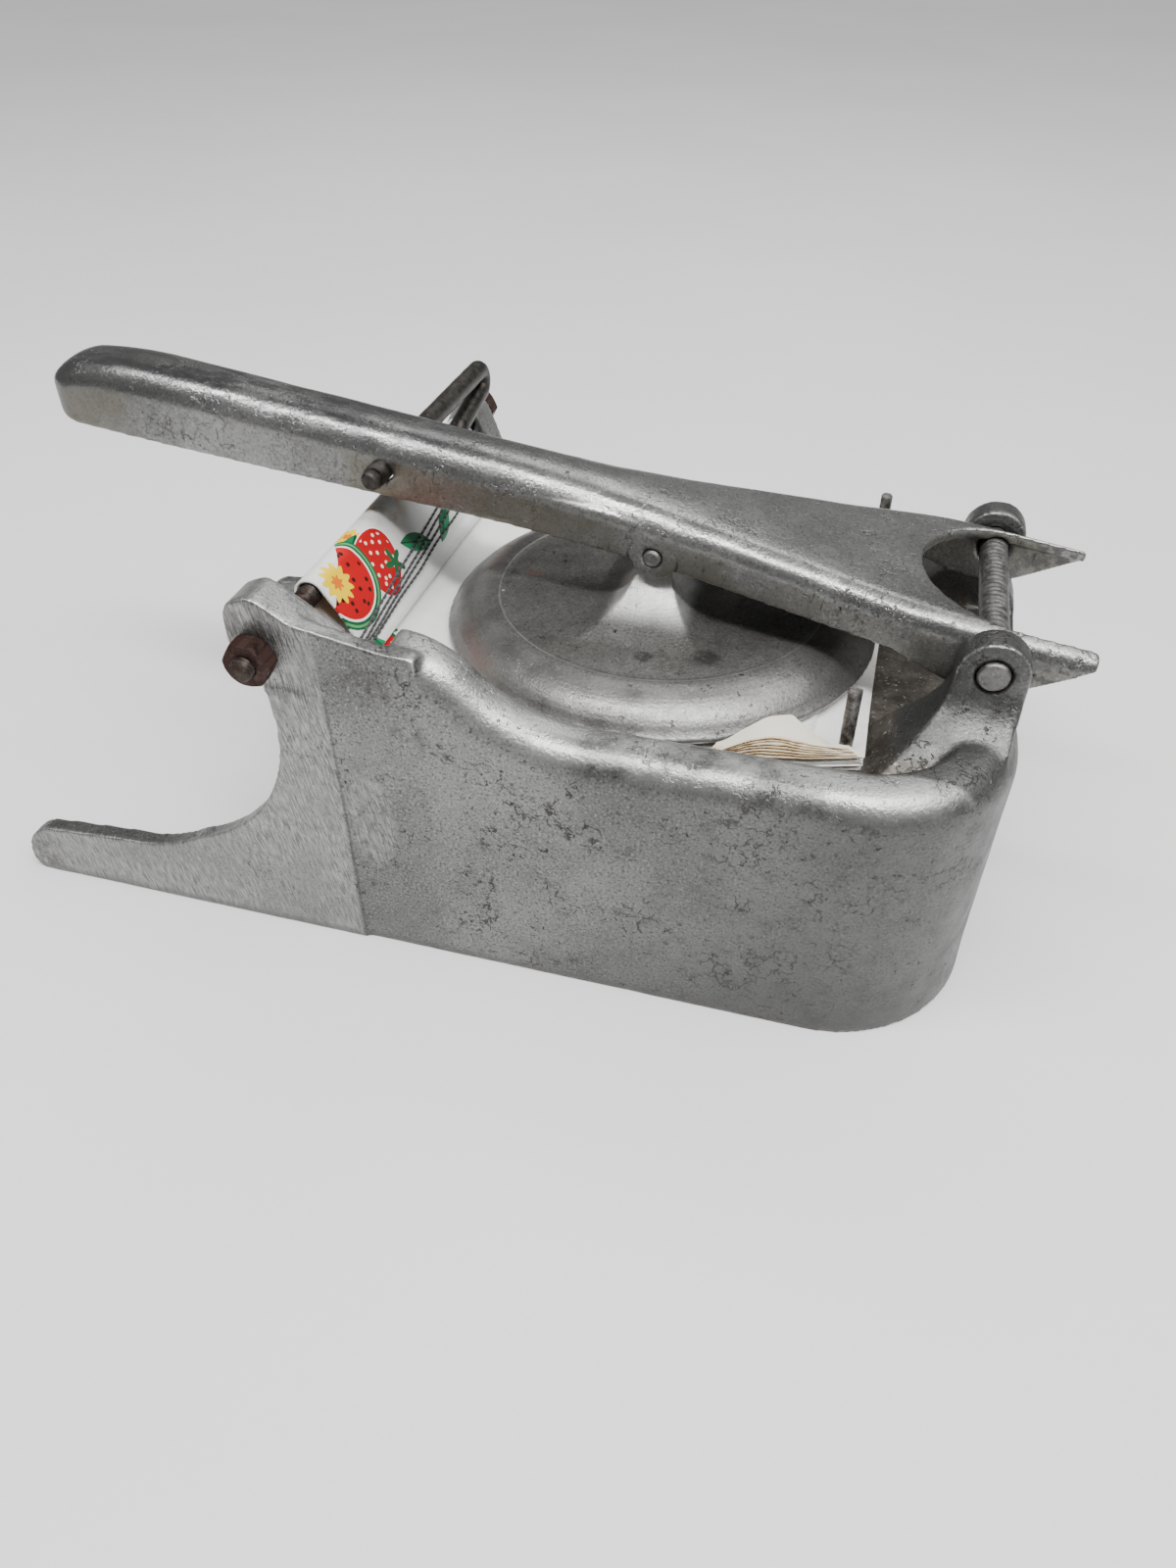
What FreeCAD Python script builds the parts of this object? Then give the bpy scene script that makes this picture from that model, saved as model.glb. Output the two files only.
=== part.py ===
"""Manual lever patty press: a cast aluminium base, a forked lever and a round platen.

All sizes are millimetres. +Z is up, +Y runs across the press and +X runs from the grip end
towards the lever's pivot. The origin is the centre of the footprint, on the table.
"""
import FreeCAD, Part
import math
import os
import Sketcher

document = FreeCAD.newDocument("PattyPress")
sheet = document.addObject("Spreadsheet::Sheet", "Sizes")

# name: value in millimetres (angles in degrees)
SIZES = {
    # base casting
    "half_width": 79.5, "wall": 5.0, "rear_x": 136.0, "corner_radius": 40.0,
    "deck_front": -34.0, "deck_top": 71.0, "deck_thickness": 5.0,
    "rim_top": 82.0, "rim_width": 14.5, "shoulder_radius": 9.0,
    "hump_x": -17.0, "hump_top": 103.0, "hump_radius": 26.0, "sweep_end": 32.0,
    "toe_x": -147.0, "toe_top": 20.0, "leg_joint": -8.0,
    "ear_front": -57.5, "ear_top": 110.0, "ear_back_top": 102.5,
    "cut_x": -49.0, "cut_radius": 50.5, "pad_edge": -33.0, "pad_top": 88.0, "pad_rise": 0.8,
    "gusset_depth": 11.5, "notch_floor": 74.0, "rib_thickness": 4.0, "rib_bottom": 42.0,
    "apron_opening": 46.0, "apron_half": 55.0, "front_rib": 8.0, "rear_rib": 82.0,
    "rim_edge": 2.5, "lug_radius": 6.0,
    # lever pivot
    "pivot_x": 125.0, "pivot_height": 96.0, "pin_radius": 4.0, "boss_radius": 9.0,
    "boss_inner": 31.0, "boss_outer": 39.7,
    # lever casting
    "lever_wall": 3.5, "fork_half": 30.6, "fork_tip": 150.0, "grip_end": -150.0,
    "grip_half": 11.6, "grip_nose": 9.0, "flare_angle": 11.86, "flare_half": 28.6, "flare_x": 100.0,
    "flare_length": 40.0, "slot_radius": 25.5, "slot_centre": 130.5, "lever_edge": 6.0,
    # platen and its link
    "press_x": 35.0, "platen_bottom": 74.7, "platen_radius": 62.4, "platen_height": 9.8,
    "flat_radius": 47.0, "lip": 2.0, "link_height": 102.0, "link_radius": 2.4, "tab_half": 11.0,
    "link_boss": 6.8, "link_pin_half": 16.4, "tab_thickness": 9.5, "tab_radius": 6.0,
    # rods, nuts and posts
    "rod_x": -50.0, "rod_height": 97.0, "rod_radius": 3.175, "rod_half": 87.5,
    "nut_flats": 11.1, "nut_height": 5.6,
    "cross_x": -44.0, "cross_height": 115.6, "cross_radius": 3.2,
    "cross_near": -16.5, "cross_far": 67.5, "cross_tip": 3.0, "hook_radius": 4.2, "hook_length": 23.0,
    "post_x": 93.5, "post_y": 53.25, "post_radius": 1.75, "post_top": 96.0,
    "post_foot": 67.5, "post_pad": 6.0, "post_pad_rise": 0.3,
    # papers and vinyl
    "paper_front": -22.0, "paper_rear": 99.0, "paper_half": 61.5, "paper_bottom": 71.35,
    "paper_top": 73.2, "lifted_front": 60.0, "lifted_height": 79.4, "lifted_thickness": 0.9,
    "vinyl_near": -50.0, "vinyl_far": 62.0, "vinyl_thickness": 0.8, "flap_bottom": 73.5,
    "flap_end": 86.0, "thread_radius": 0.35, "running_gap": 0.05,
}


class Size:
    """A number together with the expression that gives it, so that sketches stay driven."""

    def __init__(self, value, text):
        self.value = float(value)
        self.text = text

    @staticmethod
    def of(other):
        return other if isinstance(other, Size) else Size(other, repr(float(other)))

    def _with(self, other, sign, value):
        return Size(value, "(%s %s %s)" % (self.text, sign, Size.of(other).text))

    def __add__(self, other):
        return self._with(other, "+", self.value + Size.of(other).value)

    def __sub__(self, other):
        return self._with(other, "-", self.value - Size.of(other).value)

    def __mul__(self, other):
        return self._with(other, "*", self.value * Size.of(other).value)

    def __truediv__(self, other):
        return self._with(other, "/", self.value / Size.of(other).value)

    def __neg__(self):
        return Size(-self.value, "(0 - %s)" % self.text)


size = {}
for row, (alias, number) in enumerate(SIZES.items(), start=1):
    sheet.set("A%d" % row, alias)
    sheet.set("B%d" % row, str(number))
    sheet.setAlias("B%d" % row, alias)
    size[alias] = Size(number, "Sizes." + alias)
document.recompute()

ALONG_Y = FreeCAD.Vector(0, 1, 0)
ALONG_Z = FreeCAD.Vector(0, 0, 1)
# turns a sketch so that its axes are X and Z
UPRIGHT = FreeCAD.Rotation(FreeCAD.Vector(1, 0, 0), 90)


# ---------------------------------------------------------------- helpers

def bind(thing, name, amount):
    """Drives one property from the sheet."""
    thing.setExpression(name, Size.of(amount).text)


def arc_between(start, end, radius):
    """An arc from start to end that turns left, or right where the radius is negative."""
    chord = end - start
    side = 1.0 if radius > 0 else -1.0
    across = FreeCAD.Vector(-chord.y, chord.x, 0).normalize()
    reach = math.sqrt(max(radius * radius - chord.Length ** 2 / 4.0, 0.0))
    centre = (start + end) * 0.5 + across * (side * reach)
    angles = [math.atan2(p.y - centre.y, p.x - centre.x) for p in (start, end)]
    if side < 0:
        angles.reverse()
    circle = Part.Circle(centre, ALONG_Z, abs(radius))
    return Part.ArcOfCircle(circle, angles[0], angles[1])


def draw(sketch, corners):
    """Draws a closed outline whose corners are (x, y) or (x, y, radius of the arc that follows)."""
    points = [FreeCAD.Vector(Size.of(c[0]).value, Size.of(c[1]).value, 0) for c in corners]
    ends = []
    for index, corner in enumerate(corners):
        start = points[index]
        end = points[(index + 1) % len(points)]
        if len(corner) == 2:
            edge = sketch.addGeometry(Part.LineSegment(start, end), False)
            ends.append((edge, 1, 2))
            continue
        radius = Size.of(corner[2])
        edge = sketch.addGeometry(arc_between(start, end, radius.value), False)
        ends.append((edge, 1, 2) if radius.value > 0 else (edge, 2, 1))
        number = sketch.addConstraint(Sketcher.Constraint("Radius", edge, abs(radius.value)))
        sketch.setExpression("Constraints[%d]" % number, "abs(%s)" % radius.text)
    for index, corner in enumerate(corners):
        edge, first, _ = ends[index]
        before, _, last = ends[index - 1]
        sketch.addConstraint(Sketcher.Constraint("Coincident", before, last, edge, first))
        for kind, amount in (("DistanceX", corner[0]), ("DistanceY", corner[1])):
            amount = Size.of(amount)
            number = sketch.addConstraint(
                Sketcher.Constraint(kind, -1, 1, edge, first, amount.value))
            sketch.setExpression("Constraints[%d]" % number, amount.text)
    return sketch


def free_sketch(name, corners, upright=False, level=0.0):
    """A sketch on the XY plane at a level, or on the XZ plane, outside any body."""
    sketch = document.addObject("Sketcher::SketchObject", name)
    if upright:
        sketch.Placement = FreeCAD.Placement(FreeCAD.Vector(), UPRIGHT)
    else:
        bind(sketch, "Placement.Base.z", level)
    return draw(sketch, corners)


def extrude(name, sketch, direction, forward, back=0.0):
    """A solid swept from a sketch, forward and back along a direction."""
    solid = document.addObject("Part::Extrusion", name)
    solid.Base = sketch
    solid.DirMode = "Custom"
    solid.Dir = direction
    solid.Solid = True
    bind(solid, "LengthFwd", forward)
    bind(solid, "LengthRev", back)
    return solid


def prism_y(name, corners, low, high):
    """An XZ outline extruded across the press from y = low to y = high."""
    sketch = free_sketch(name + "_outline", corners, upright=True)
    return extrude(name, sketch, ALONG_Y, high, -Size.of(low))


def prism_z(name, corners, low, high):
    """An XY outline extruded from z = low to z = high."""
    sketch = free_sketch(name + "_outline", corners, level=low)
    return extrude(name, sketch, ALONG_Z, Size.of(high) - low)


def cylinder_y(name, centre_x, centre_z, radius, low, high):
    """A cylinder that runs across the press."""
    solid = document.addObject("Part::Cylinder", name)
    solid.Placement = FreeCAD.Placement(
        FreeCAD.Vector(), FreeCAD.Rotation(FreeCAD.Vector(1, 0, 0), -90))
    bind(solid, "Radius", radius)
    bind(solid, "Height", Size.of(high) - low)
    bind(solid, "Placement.Base.x", centre_x)
    bind(solid, "Placement.Base.y", low)
    bind(solid, "Placement.Base.z", centre_z)
    return solid


def cylinder_z(name, centre_x, centre_y, radius, low, high):
    """An upright cylinder."""
    solid = document.addObject("Part::Cylinder", name)
    bind(solid, "Radius", radius)
    bind(solid, "Height", Size.of(high) - low)
    bind(solid, "Placement.Base.x", centre_x)
    bind(solid, "Placement.Base.y", centre_y)
    bind(solid, "Placement.Base.z", low)
    return solid


def fused(name, *pieces):
    solid = document.addObject("Part::MultiFuse", name)
    solid.Shapes = list(pieces)
    solid.Refine = True
    return solid


def shared(name, *pieces):
    solid = document.addObject("Part::MultiCommon", name)
    solid.Shapes = list(pieces)
    return solid


def cut(name, base, *tools):
    """The base with each tool cut away in turn."""
    for index, tool in enumerate(tools):
        last = index == len(tools) - 1
        solid = document.addObject("Part::Cut", name if last else "%s_%d" % (name, index))
        solid.Base = base
        solid.Tool = tool
        solid.Refine = last
        base = solid
    return base


def mirrored(name, solid):
    """The same solid on the other side of the press."""
    twin = document.addObject("Part::Mirroring", name)
    twin.Source = solid
    twin.Base = FreeCAD.Vector()
    twin.Normal = ALONG_Y
    return twin


def rounded(name, solid, radius, wanted):
    """Rounds the edges that wanted(edge) picks."""
    document.recompute()
    edges = [(number, radius.value, radius.value)
             for number, edge in enumerate(solid.Shape.Edges, start=1) if wanted(edge)]
    feature = document.addObject("Part::Fillet", name)
    feature.Base = solid
    feature.Edges = edges
    return feature


def middle(edge):
    """The point half-way along an edge."""
    first, last = edge.ParameterRange
    return edge.valueAt((first + last) / 2.0)


def new_body(name):
    body = document.addObject("PartDesign::Body", name)
    document.recompute()
    return body


def origin_plane(body, role):
    return [item for item in body.Origin.OriginFeatures if item.Role == role][0]


def body_sketch(body, name, role, level=0.0):
    """A sketch attached to one of its own body's origin planes, at a height above it."""
    sketch = body.newObject("Sketcher::SketchObject", name)
    sketch.AttachmentSupport = [(origin_plane(body, role), "")]
    sketch.MapMode = "FlatFace"
    bind(sketch, "AttachmentOffset.Base.z", level)
    return sketch


def circle(sketch, centre_x, centre_y, radius):
    """A driven circle in a sketch."""
    centre = FreeCAD.Vector(Size.of(centre_x).value, Size.of(centre_y).value, 0)
    edge = sketch.addGeometry(Part.Circle(centre, ALONG_Z, Size.of(radius).value), False)
    number = sketch.addConstraint(Sketcher.Constraint("Radius", edge, Size.of(radius).value))
    sketch.setExpression("Constraints[%d]" % number, Size.of(radius).text)
    for kind, amount in (("DistanceX", centre_x), ("DistanceY", centre_y)):
        amount = Size.of(amount)
        number = sketch.addConstraint(Sketcher.Constraint(kind, -1, 1, edge, 3, amount.value))
        sketch.setExpression("Constraints[%d]" % number, amount.text)
    return sketch


nodes = []


def keep(name, solid):
    """Names a finished sub-part, which becomes one node."""
    solid.Label = name
    nodes.append(solid)


# ---------------------------------------------------------------- base casting

def base_casting():
    """The base: a round-cornered tub with a deck, two legs, two ears and two pivot bosses."""
    half = size["half_width"]
    rear = size["rear_x"]
    wall = size["wall"]
    deck = size["deck_top"]
    rim = size["rim_top"]
    front = size["deck_front"]
    under_deck = deck - size["deck_thickness"]

    # the rim sweeps up to the ears along two tangent arcs
    run = size["sweep_end"] - size["hump_x"]
    rise = size["hump_top"] - rim
    both_radii = (run * run + rise * rise) / (rise * 2.0)
    hump_radius = size["hump_radius"]
    sweep_radius = both_radii - hump_radius
    joint_x = size["hump_x"] + run * hump_radius / both_radii
    joint_z = size["hump_top"] - hump_radius + (both_radii - rise) * hump_radius / both_radii
    side = prism_y("base_side", [
        (front, 0), (rear, 0), (rear, rim), (size["sweep_end"], rim, -sweep_radius),
        (joint_x, joint_z, hump_radius), (size["hump_x"], size["hump_top"]),
        (size["hump_x"], deck), (front, deck)], -half, half)
    plan = prism_z("base_plan", rear_rounded(front - 1.0, rear, half, size["corner_radius"]),
                   -1.0, size["hump_top"] + 1.0)
    block = shared("base_block", side, plan)

    hump = size["hump_x"].value
    rim_level = rim.value

    def on_shoulder(edge):
        box = edge.BoundBox
        on_top = box.ZMin > rim_level - 0.01
        along = box.YLength < 0.01 and abs(abs(box.YMin) - half.value) < 0.01
        round_corner = box.XMin > hump and box.XMax > rear.value - 41.0 and box.ZLength < 0.01
        return on_top and (along or round_corner) and box.XMax > hump + 0.01
    block = rounded("base_shoulder", block, size["shoulder_radius"], on_shoulder)

    hollow = prism_z("base_hollow", rear_rounded(
        front + wall, rear - wall, half - wall, size["corner_radius"] - wall), -1.0, under_deck)
    inner_half = half - size["rim_width"]
    basin = prism_z("base_basin", rear_rounded(
        front - 2.0, rear - size["rim_width"], inner_half,
        size["corner_radius"] - size["rim_width"]), deck, size["hump_top"] + 2.0)
    block = cut("base_tub", block, hollow, basin)
    block = rounded("base_rim_edges", block, size["rim_edge"], rim_inner_edge)

    notch = prism_y("base_notch", [
        (rear - size["rim_width"] - 1.0, size["notch_floor"]), (rear + 1.0, size["notch_floor"]),
        (rear + 1.0, rim + 1.0), (rear - size["rim_width"] - 1.0, rim + 1.0)],
        -size["boss_inner"], size["boss_inner"])
    arch_half = size["apron_half"]
    arch = prism_x_arch("base_arch", front, wall, arch_half, size["apron_opening"])

    leg = leg_plate()
    gusset = prism_y("ear_gusset", [
        (size["ear_front"] + 0.5, 89.0), (-39.0, 88.0), (-30.0, 101.0), (-46.0, 111.5, 6.0),
        (-53.0, 111.7, 5.0), (size["ear_front"] + 0.5, 107.0)],
        -half, -half + size["gusset_depth"])
    column = pivot_column()
    near_side = fused("near_side", leg, gusset, column)
    far_side = mirrored("far_side", near_side)
    # the far ear is only a lug round the rod, and the far rim stays low beside the lever
    low_far_side = prism_y("low_far_side", [
        (-60.0, 130.0), (-60.0, 97.0), (-56.0, 97.0, -size["lug_radius"]), (-44.6, 99.6),
        (-39.0, 85.0), (-10.0, 83.4), (20.0, 82.8), (46.0, rim), (46.0, 130.0)],
        inner_half - 5.0, half + 4.0)
    pads = [cylinder_z("post_pad_%d" % number, size["post_x"], size["post_y"] * turn,
                       size["post_pad"], deck - 0.5, deck + size["post_pad_rise"])
            for number, turn in enumerate((-1.0, 1.0))]
    ribs = [prism_z("deck_rib_%d" % number, [
        (place, -half + 2.0), (place + size["rib_thickness"], -half + 2.0),
        (place + size["rib_thickness"], half - 2.0), (place, half - 2.0)],
        size["rib_bottom"], deck - 1.0)
        for number, place in enumerate((size["front_rib"], size["rear_rib"]))]
    whole = fused("base_whole", cut("base_open", block, notch, arch), near_side, far_side,
                  *(pads + ribs))
    holes = [cylinder_y("rod_holes", size["rod_x"], size["rod_height"],
                        size["rod_radius"] + 0.1, -half - 1.0, half + 1.0),
             cylinder_y("pivot_holes", size["pivot_x"], size["pivot_height"],
                        size["pin_radius"], -half, half)]
    holes += [cylinder_z("post_hole_%d" % number, size["post_x"], size["post_y"] * turn,
                         size["post_radius"], size["post_foot"], deck + 2.0)
              for number, turn in enumerate((-1.0, 1.0))]
    return cut("base_casting", whole, low_far_side, *holes)


def rear_rounded(front, rear, half, radius):
    """A plan outline, square at the front and with two round corners at the rear."""
    front, rear = Size.of(front), Size.of(rear)
    return [(front, -half), (rear - radius, -half, radius), (rear, radius - half),
            (rear, half - radius, radius), (rear - radius, half), (front, half)]


def rim_inner_edge(edge):
    """The rim's inner top edges and the hump's front edges."""
    box = edge.BoundBox
    inner = size["half_width"].value - size["rim_width"].value
    straight = box.YLength < 0.01 and abs(abs(box.YMin) - inner) < 0.01
    rear_edge = box.ZLength < 0.01 and box.XMin > size["rear_x"].value - 41.0
    inside = max(abs(box.YMin), abs(box.YMax)) < inner + 0.01
    high = box.ZMin > size["rim_top"].value - 0.01
    return high and inside and (straight or rear_edge) and box.XMax < size["rear_x"].value - 10.0


def prism_x_arch(name, front, wall, half, height):
    """An arched opening through the front apron, cut along X."""
    sketch = document.addObject("Sketcher::SketchObject", name + "_outline")
    sketch.Placement = FreeCAD.Placement(
        FreeCAD.Vector(), FreeCAD.Rotation(FreeCAD.Vector(1, 1, 1), 120))
    bind(sketch, "Placement.Base.x", front - 1.0)
    radius = 16.0
    draw(sketch, [(-half, -1.0), (half, -1.0), (half, height - radius, radius),
                  (half - radius, height), (-half + radius, height, radius),
                  (-half, height - radius)])
    return extrude(name, sketch, FreeCAD.Vector(1, 0, 0), wall + 2.0)


def leg_outline(right):
    """The leg's side view from the toe to the ear, closed off at x = right."""
    toe = size["toe_x"]
    return [
        (right, 0), (toe + 4.0, 0, -4.5), (toe, 5.0, -13.0), (toe + 11.0, size["toe_top"] - 1.5),
        (-118.0, size["toe_top"], -150.0), (-103.0, 21.0, 45.0), (-82.5, 28.3, size["cut_radius"]),
        (size["cut_x"] - 1.5, 90.0), (size["ear_front"], 100.0), (size["ear_front"], 106.0, -5.0),
        (size["ear_front"] + 3.5, size["ear_top"]), (size["hump_x"], size["ear_back_top"] + 0.5),
        (right, size["ear_back_top"])]


def leg_plate():
    """The near leg and ear, with the ground pad that stands slightly proud on its outer face."""
    half = size["half_width"]
    plate = prism_y("near_leg", leg_outline(size["leg_joint"]), -half, -half + size["wall"])
    slab = prism_y("near_pad_slab", leg_outline(size["leg_joint"]), -half - size["pad_rise"],
                   -half + 1.0)
    window = prism_y("near_pad_window", [
        (-160.0, -1.0), (size["pad_edge"], -1.0), (size["pad_edge"] - 3.5, size["pad_top"] - 6.0, 7.0),
        (size["pad_edge"] - 10.0, size["pad_top"]), (-160.0, size["pad_top"])],
        -half - 2.0, -half + 2.0)
    return fused("near_leg_padded", plate, shared("near_pad", slab, window))


def pivot_column():
    """The near column, which narrows from the rear corner up to the pivot boss."""
    inner = -size["boss_inner"]
    sections = []
    levels = [(72.0, 100.0, 130.5, -60.0), (80.5, 108.5, 132.3, -50.5),
              (88.0, 114.5, 133.6, -41.6),
              (size["pivot_height"], size["pivot_x"] - size["boss_radius"],
               size["pivot_x"] + size["boss_radius"], -size["boss_outer"])]
    for number, (level, low_x, high_x, outer) in enumerate(levels):
        sections.append(free_sketch("column_section_%d" % number, [
            (low_x, outer), (high_x, outer), (high_x, inner), (low_x, inner)], level=level))
    column = document.addObject("Part::Loft", "near_column")
    column.Sections = sections
    column.Solid = True
    boss = cylinder_y("near_boss", size["pivot_x"], size["pivot_height"], size["boss_radius"],
                      -size["boss_outer"], inner)
    return fused("near_pivot", column, boss)


# ---------------------------------------------------------------- lever casting

def lever_plan(inset, front, rear):
    """The lever's plan outline, moved in by inset: a slim grip that flares to the fork."""
    grip = size["grip_half"] - inset
    fork = size["fork_half"] - inset
    wide = size["flare_half"] - inset
    slope = math.radians(size["flare_angle"].value)
    cosine = Size(math.cos(slope), "cos(Sizes.flare_angle * 1 deg)")
    sine = Size(math.sin(slope), "sin(Sizes.flare_angle * 1 deg)")
    narrow = wide - size["flare_length"] * sine / cosine
    leave = size["flare_x"] - size["flare_length"]
    first = (narrow - grip) / (Size.of(1.0) - cosine)
    second = (fork - wide) / (Size.of(1.0) - cosine)
    start = leave - first * sine
    finish = size["flare_x"] + second * sine
    nose = Size.of(front) + size["grip_nose"]
    return [
        (nose, -grip), (start, -grip, -first), (leave, -narrow),
        (size["flare_x"], -wide, second), (finish, -fork), (rear, -fork),
        (rear, fork), (finish, fork, second), (size["flare_x"], wide),
        (leave, narrow, -first), (start, grip), (nose, grip, grip + 0.4)]


def lever_handle():
    """The lever: an inverted channel with a rounded grip end and a fork at the pivot."""
    tip = size["fork_tip"]
    end = size["grip_end"]
    wall = size["lever_wall"]
    side = prism_y("lever_side", [
        (end, 126.5, 6.0), (end + 5.0, 118.6), (101.0, 92.4), (114.0, 87.0, 30.0),
        (133.0, 86.6), (tip - 1.5, 94.6, 2.41), (tip - 1.5, 99.0), (115.0, 103.8),
        (-108.0, 135.6, 153.0), (-136.0, 137.0, 15.45)], -32.0, 32.0)
    plan = prism_z("lever_plan", lever_plan(0.0, end, tip + 1.0), 80.0, 140.0)
    block = shared("lever_block", side, plan)

    def top_edge(edge):
        point = middle(edge)
        slope_top = 103.8 + (115.0 - point.x) * 31.8 / 223.0
        sideways = abs(point.y) > size["grip_half"].value - 0.5 or point.x < end.value + 9.5
        return (sideways and abs(point.z - slope_top) < 5.0 and edge.BoundBox.XLength > 0.5
                and point.x < size["flare_x"].value + 15.0 and point.z > slope_top - 2.0)
    block = rounded("lever_top", block, size["lever_edge"], top_edge)

    boss = shared("link_bosses", cylinder_y(
        "link_boss_bar", size["press_x"], size["link_height"], size["link_boss"], -30.0, 30.0),
        plan)
    hollow = shared("lever_hollow", prism_y("hollow_side", [
        (end + wall, 100.0), (tip + 12.0, 60.0), (tip + 12.0, 93.5), (115.0, 100.2),
        (-108.0, 132.0), (-136.0, 133.0), (end + wall, 126.0)], -32.0, 32.0),
        prism_z("hollow_plan", lever_plan(wall, end + wall, tip + 8.0), 70.0, 140.0))
    radius = size["slot_radius"]
    centre = size["slot_centre"]
    slot = prism_z("fork_slot", [
        (centre, -radius), (tip + 10.0, -radius), (tip + 10.0, radius), (centre, radius, radius),
        (centre - radius, 0.0, radius)], 60.0, 140.0)
    gap = size["running_gap"]
    holes = [
        cylinder_y("link_hole", size["press_x"], size["link_height"],
                   size["link_radius"] + gap, -30.0, 30.0),
        cylinder_y("cross_hole", size["cross_x"], size["cross_height"],
                   size["cross_radius"] + gap, -30.0, 30.0),
        cylinder_y("fork_holes", size["pivot_x"], size["pivot_height"],
                   size["pin_radius"] + gap, -40.0, 40.0)]
    return cut("lever_handle", fused("lever_whole", block, boss), hollow, slot, *holes)


# ---------------------------------------------------------------- platen

def press_platen():
    """The platen: a round disc with a rolled edge and a flared pedestal that ends in a tab."""
    body = new_body("press_platen")
    bind(body, "Placement.Base.x", size["press_x"])
    bind(body, "Placement.Base.z", size["platen_bottom"])
    radius = size["platen_radius"]
    height = size["platen_height"]
    disc = body_sketch(body, "platen_section", "XZ_Plane")
    draw(disc, [(0, 0), (radius, 0), (radius, size["lip"]), (radius - 0.9, size["lip"], 17.5),
                (size["flat_radius"], height), (size["flat_radius"] - 0.6, height - 0.4),
                (0, height - 0.4)])
    turned = body.newObject("PartDesign::Revolution", "platen_disc")
    turned.Profile = disc
    turned.ReferenceAxis = (disc, ["V_Axis"])
    turned.Angle = 360.0

    link = size["link_height"] - size["platen_bottom"]
    sections = []
    shape = [(height - 1.0, 19.0, 36.0), (height + 1.0, 13.5, 27.0), (height + 5.5, 8.0, 17.0),
             (link - 5.0, 4.75, 11.0)]
    for number, (level, half_x, half_y) in enumerate(shape):
        sketch = body_sketch(body, "pedestal_%d" % number, "XY_Plane", level)
        draw(sketch, [(-half_x, -half_y), (half_x, -half_y), (half_x, half_y), (-half_x, half_y)])
        sections.append(sketch)
    pedestal = body.newObject("PartDesign::AdditiveLoft", "pedestal")
    pedestal.Profile = sections[0]
    pedestal.Sections = sections[1:]
    pedestal.Ruled = False

    half = size["tab_thickness"] / 2.0
    tab_sketch = body_sketch(body, "tab_outline", "XZ_Plane")
    draw(tab_sketch, [(-half, link - 7.0), (half, link - 7.0), (half, link, size["tab_radius"]),
                      (-half, link)])
    tab = body.newObject("PartDesign::Pad", "tab")
    tab.Profile = tab_sketch
    tab.SideType = "Symmetric"
    bind(tab, "Length", size["tab_half"] * 2.0)
    hole_sketch = body_sketch(body, "tab_hole_outline", "XZ_Plane")
    circle(hole_sketch, 0, link, size["link_radius"] + size["running_gap"])
    hole = body.newObject("PartDesign::Pocket", "tab_hole")
    hole.Profile = hole_sketch
    hole.SideType = "Symmetric"
    bind(hole, "Length", size["tab_half"] * 4.0)
    return body


# ---------------------------------------------------------------- pins, rods, nuts and posts

def rim_circles(edge):
    """The end edges of a pin, rod or nut blank."""
    return isinstance(edge.Curve, Part.Circle)


def chamfered(name, solid, amount):
    """Bevels both end edges of a cylinder."""
    document.recompute()
    feature = document.addObject("Part::Chamfer", name)
    feature.Base = solid
    feature.Edges = [(number, amount, amount)
                     for number, edge in enumerate(solid.Shape.Edges, start=1) if rim_circles(edge)]
    return feature


def nut(name, outer_end, direction):
    """A hexagon nut on the front rod, whose outer face is at y = outer_end."""
    height = size["nut_height"]
    low = outer_end if direction < 0 else Size.of(outer_end) - height
    corner = size["nut_flats"] / math.sqrt(3.0)
    hexagon = document.addObject("Part::Prism", name + "_hexagon")
    hexagon.Polygon = 6
    hexagon.Placement = FreeCAD.Placement(
        FreeCAD.Vector(), FreeCAD.Rotation(FreeCAD.Vector(1, 0, 0), -90))
    bind(hexagon, "Circumradius", corner)
    bind(hexagon, "Height", height)
    bind(hexagon, "Placement.Base.x", size["rod_x"])
    bind(hexagon, "Placement.Base.y", low)
    bind(hexagon, "Placement.Base.z", size["rod_height"])
    blank = chamfered(name + "_bevel", cylinder_y(
        name + "_blank", size["rod_x"], size["rod_height"], corner, low, Size.of(low) + height), 0.8)
    bore = cylinder_y(name + "_bore", size["rod_x"], size["rod_height"], size["rod_radius"],
                      Size.of(low) - 1.0, Size.of(low) + height + 1.0)
    return cut(name, shared(name + "_body", hexagon, blank), bore)


def cross_rod():
    """The stop rod through the lever, with a stepped near end and a hook bent at its far end."""
    x = size["cross_x"]
    z = size["cross_height"]
    radius = size["cross_radius"]
    far = size["cross_far"]
    bend = size["hook_radius"]
    shank = cylinder_y("cross_shank", x, z, radius, size["cross_near"], far)
    tip = chamfered("cross_tip", cylinder_y(
        "cross_tip_blank", x, z, radius - 0.5, size["cross_near"] - size["cross_tip"],
        size["cross_near"] + 1.0), 0.6)
    ring = document.addObject("Part::Torus", "cross_bend")
    ring.Angle3 = 180.0
    bind(ring, "Radius1", bend)
    bind(ring, "Radius2", radius)
    # stands the half ring upright, with its open side towards -Y
    ring.Placement.Rotation = FreeCAD.Rotation(
        FreeCAD.Vector(0, 0, 1), ALONG_Y, FreeCAD.Vector(-1, 0, 0), "XYZ")
    bind(ring, "Placement.Base.x", x)
    bind(ring, "Placement.Base.y", far)
    bind(ring, "Placement.Base.z", z - bend)
    tail = cylinder_y("cross_tail", x, z - bend * 2.0, radius, far - size["hook_length"], far)
    return fused("cross_rod", shank, tip, ring, tail)


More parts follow.
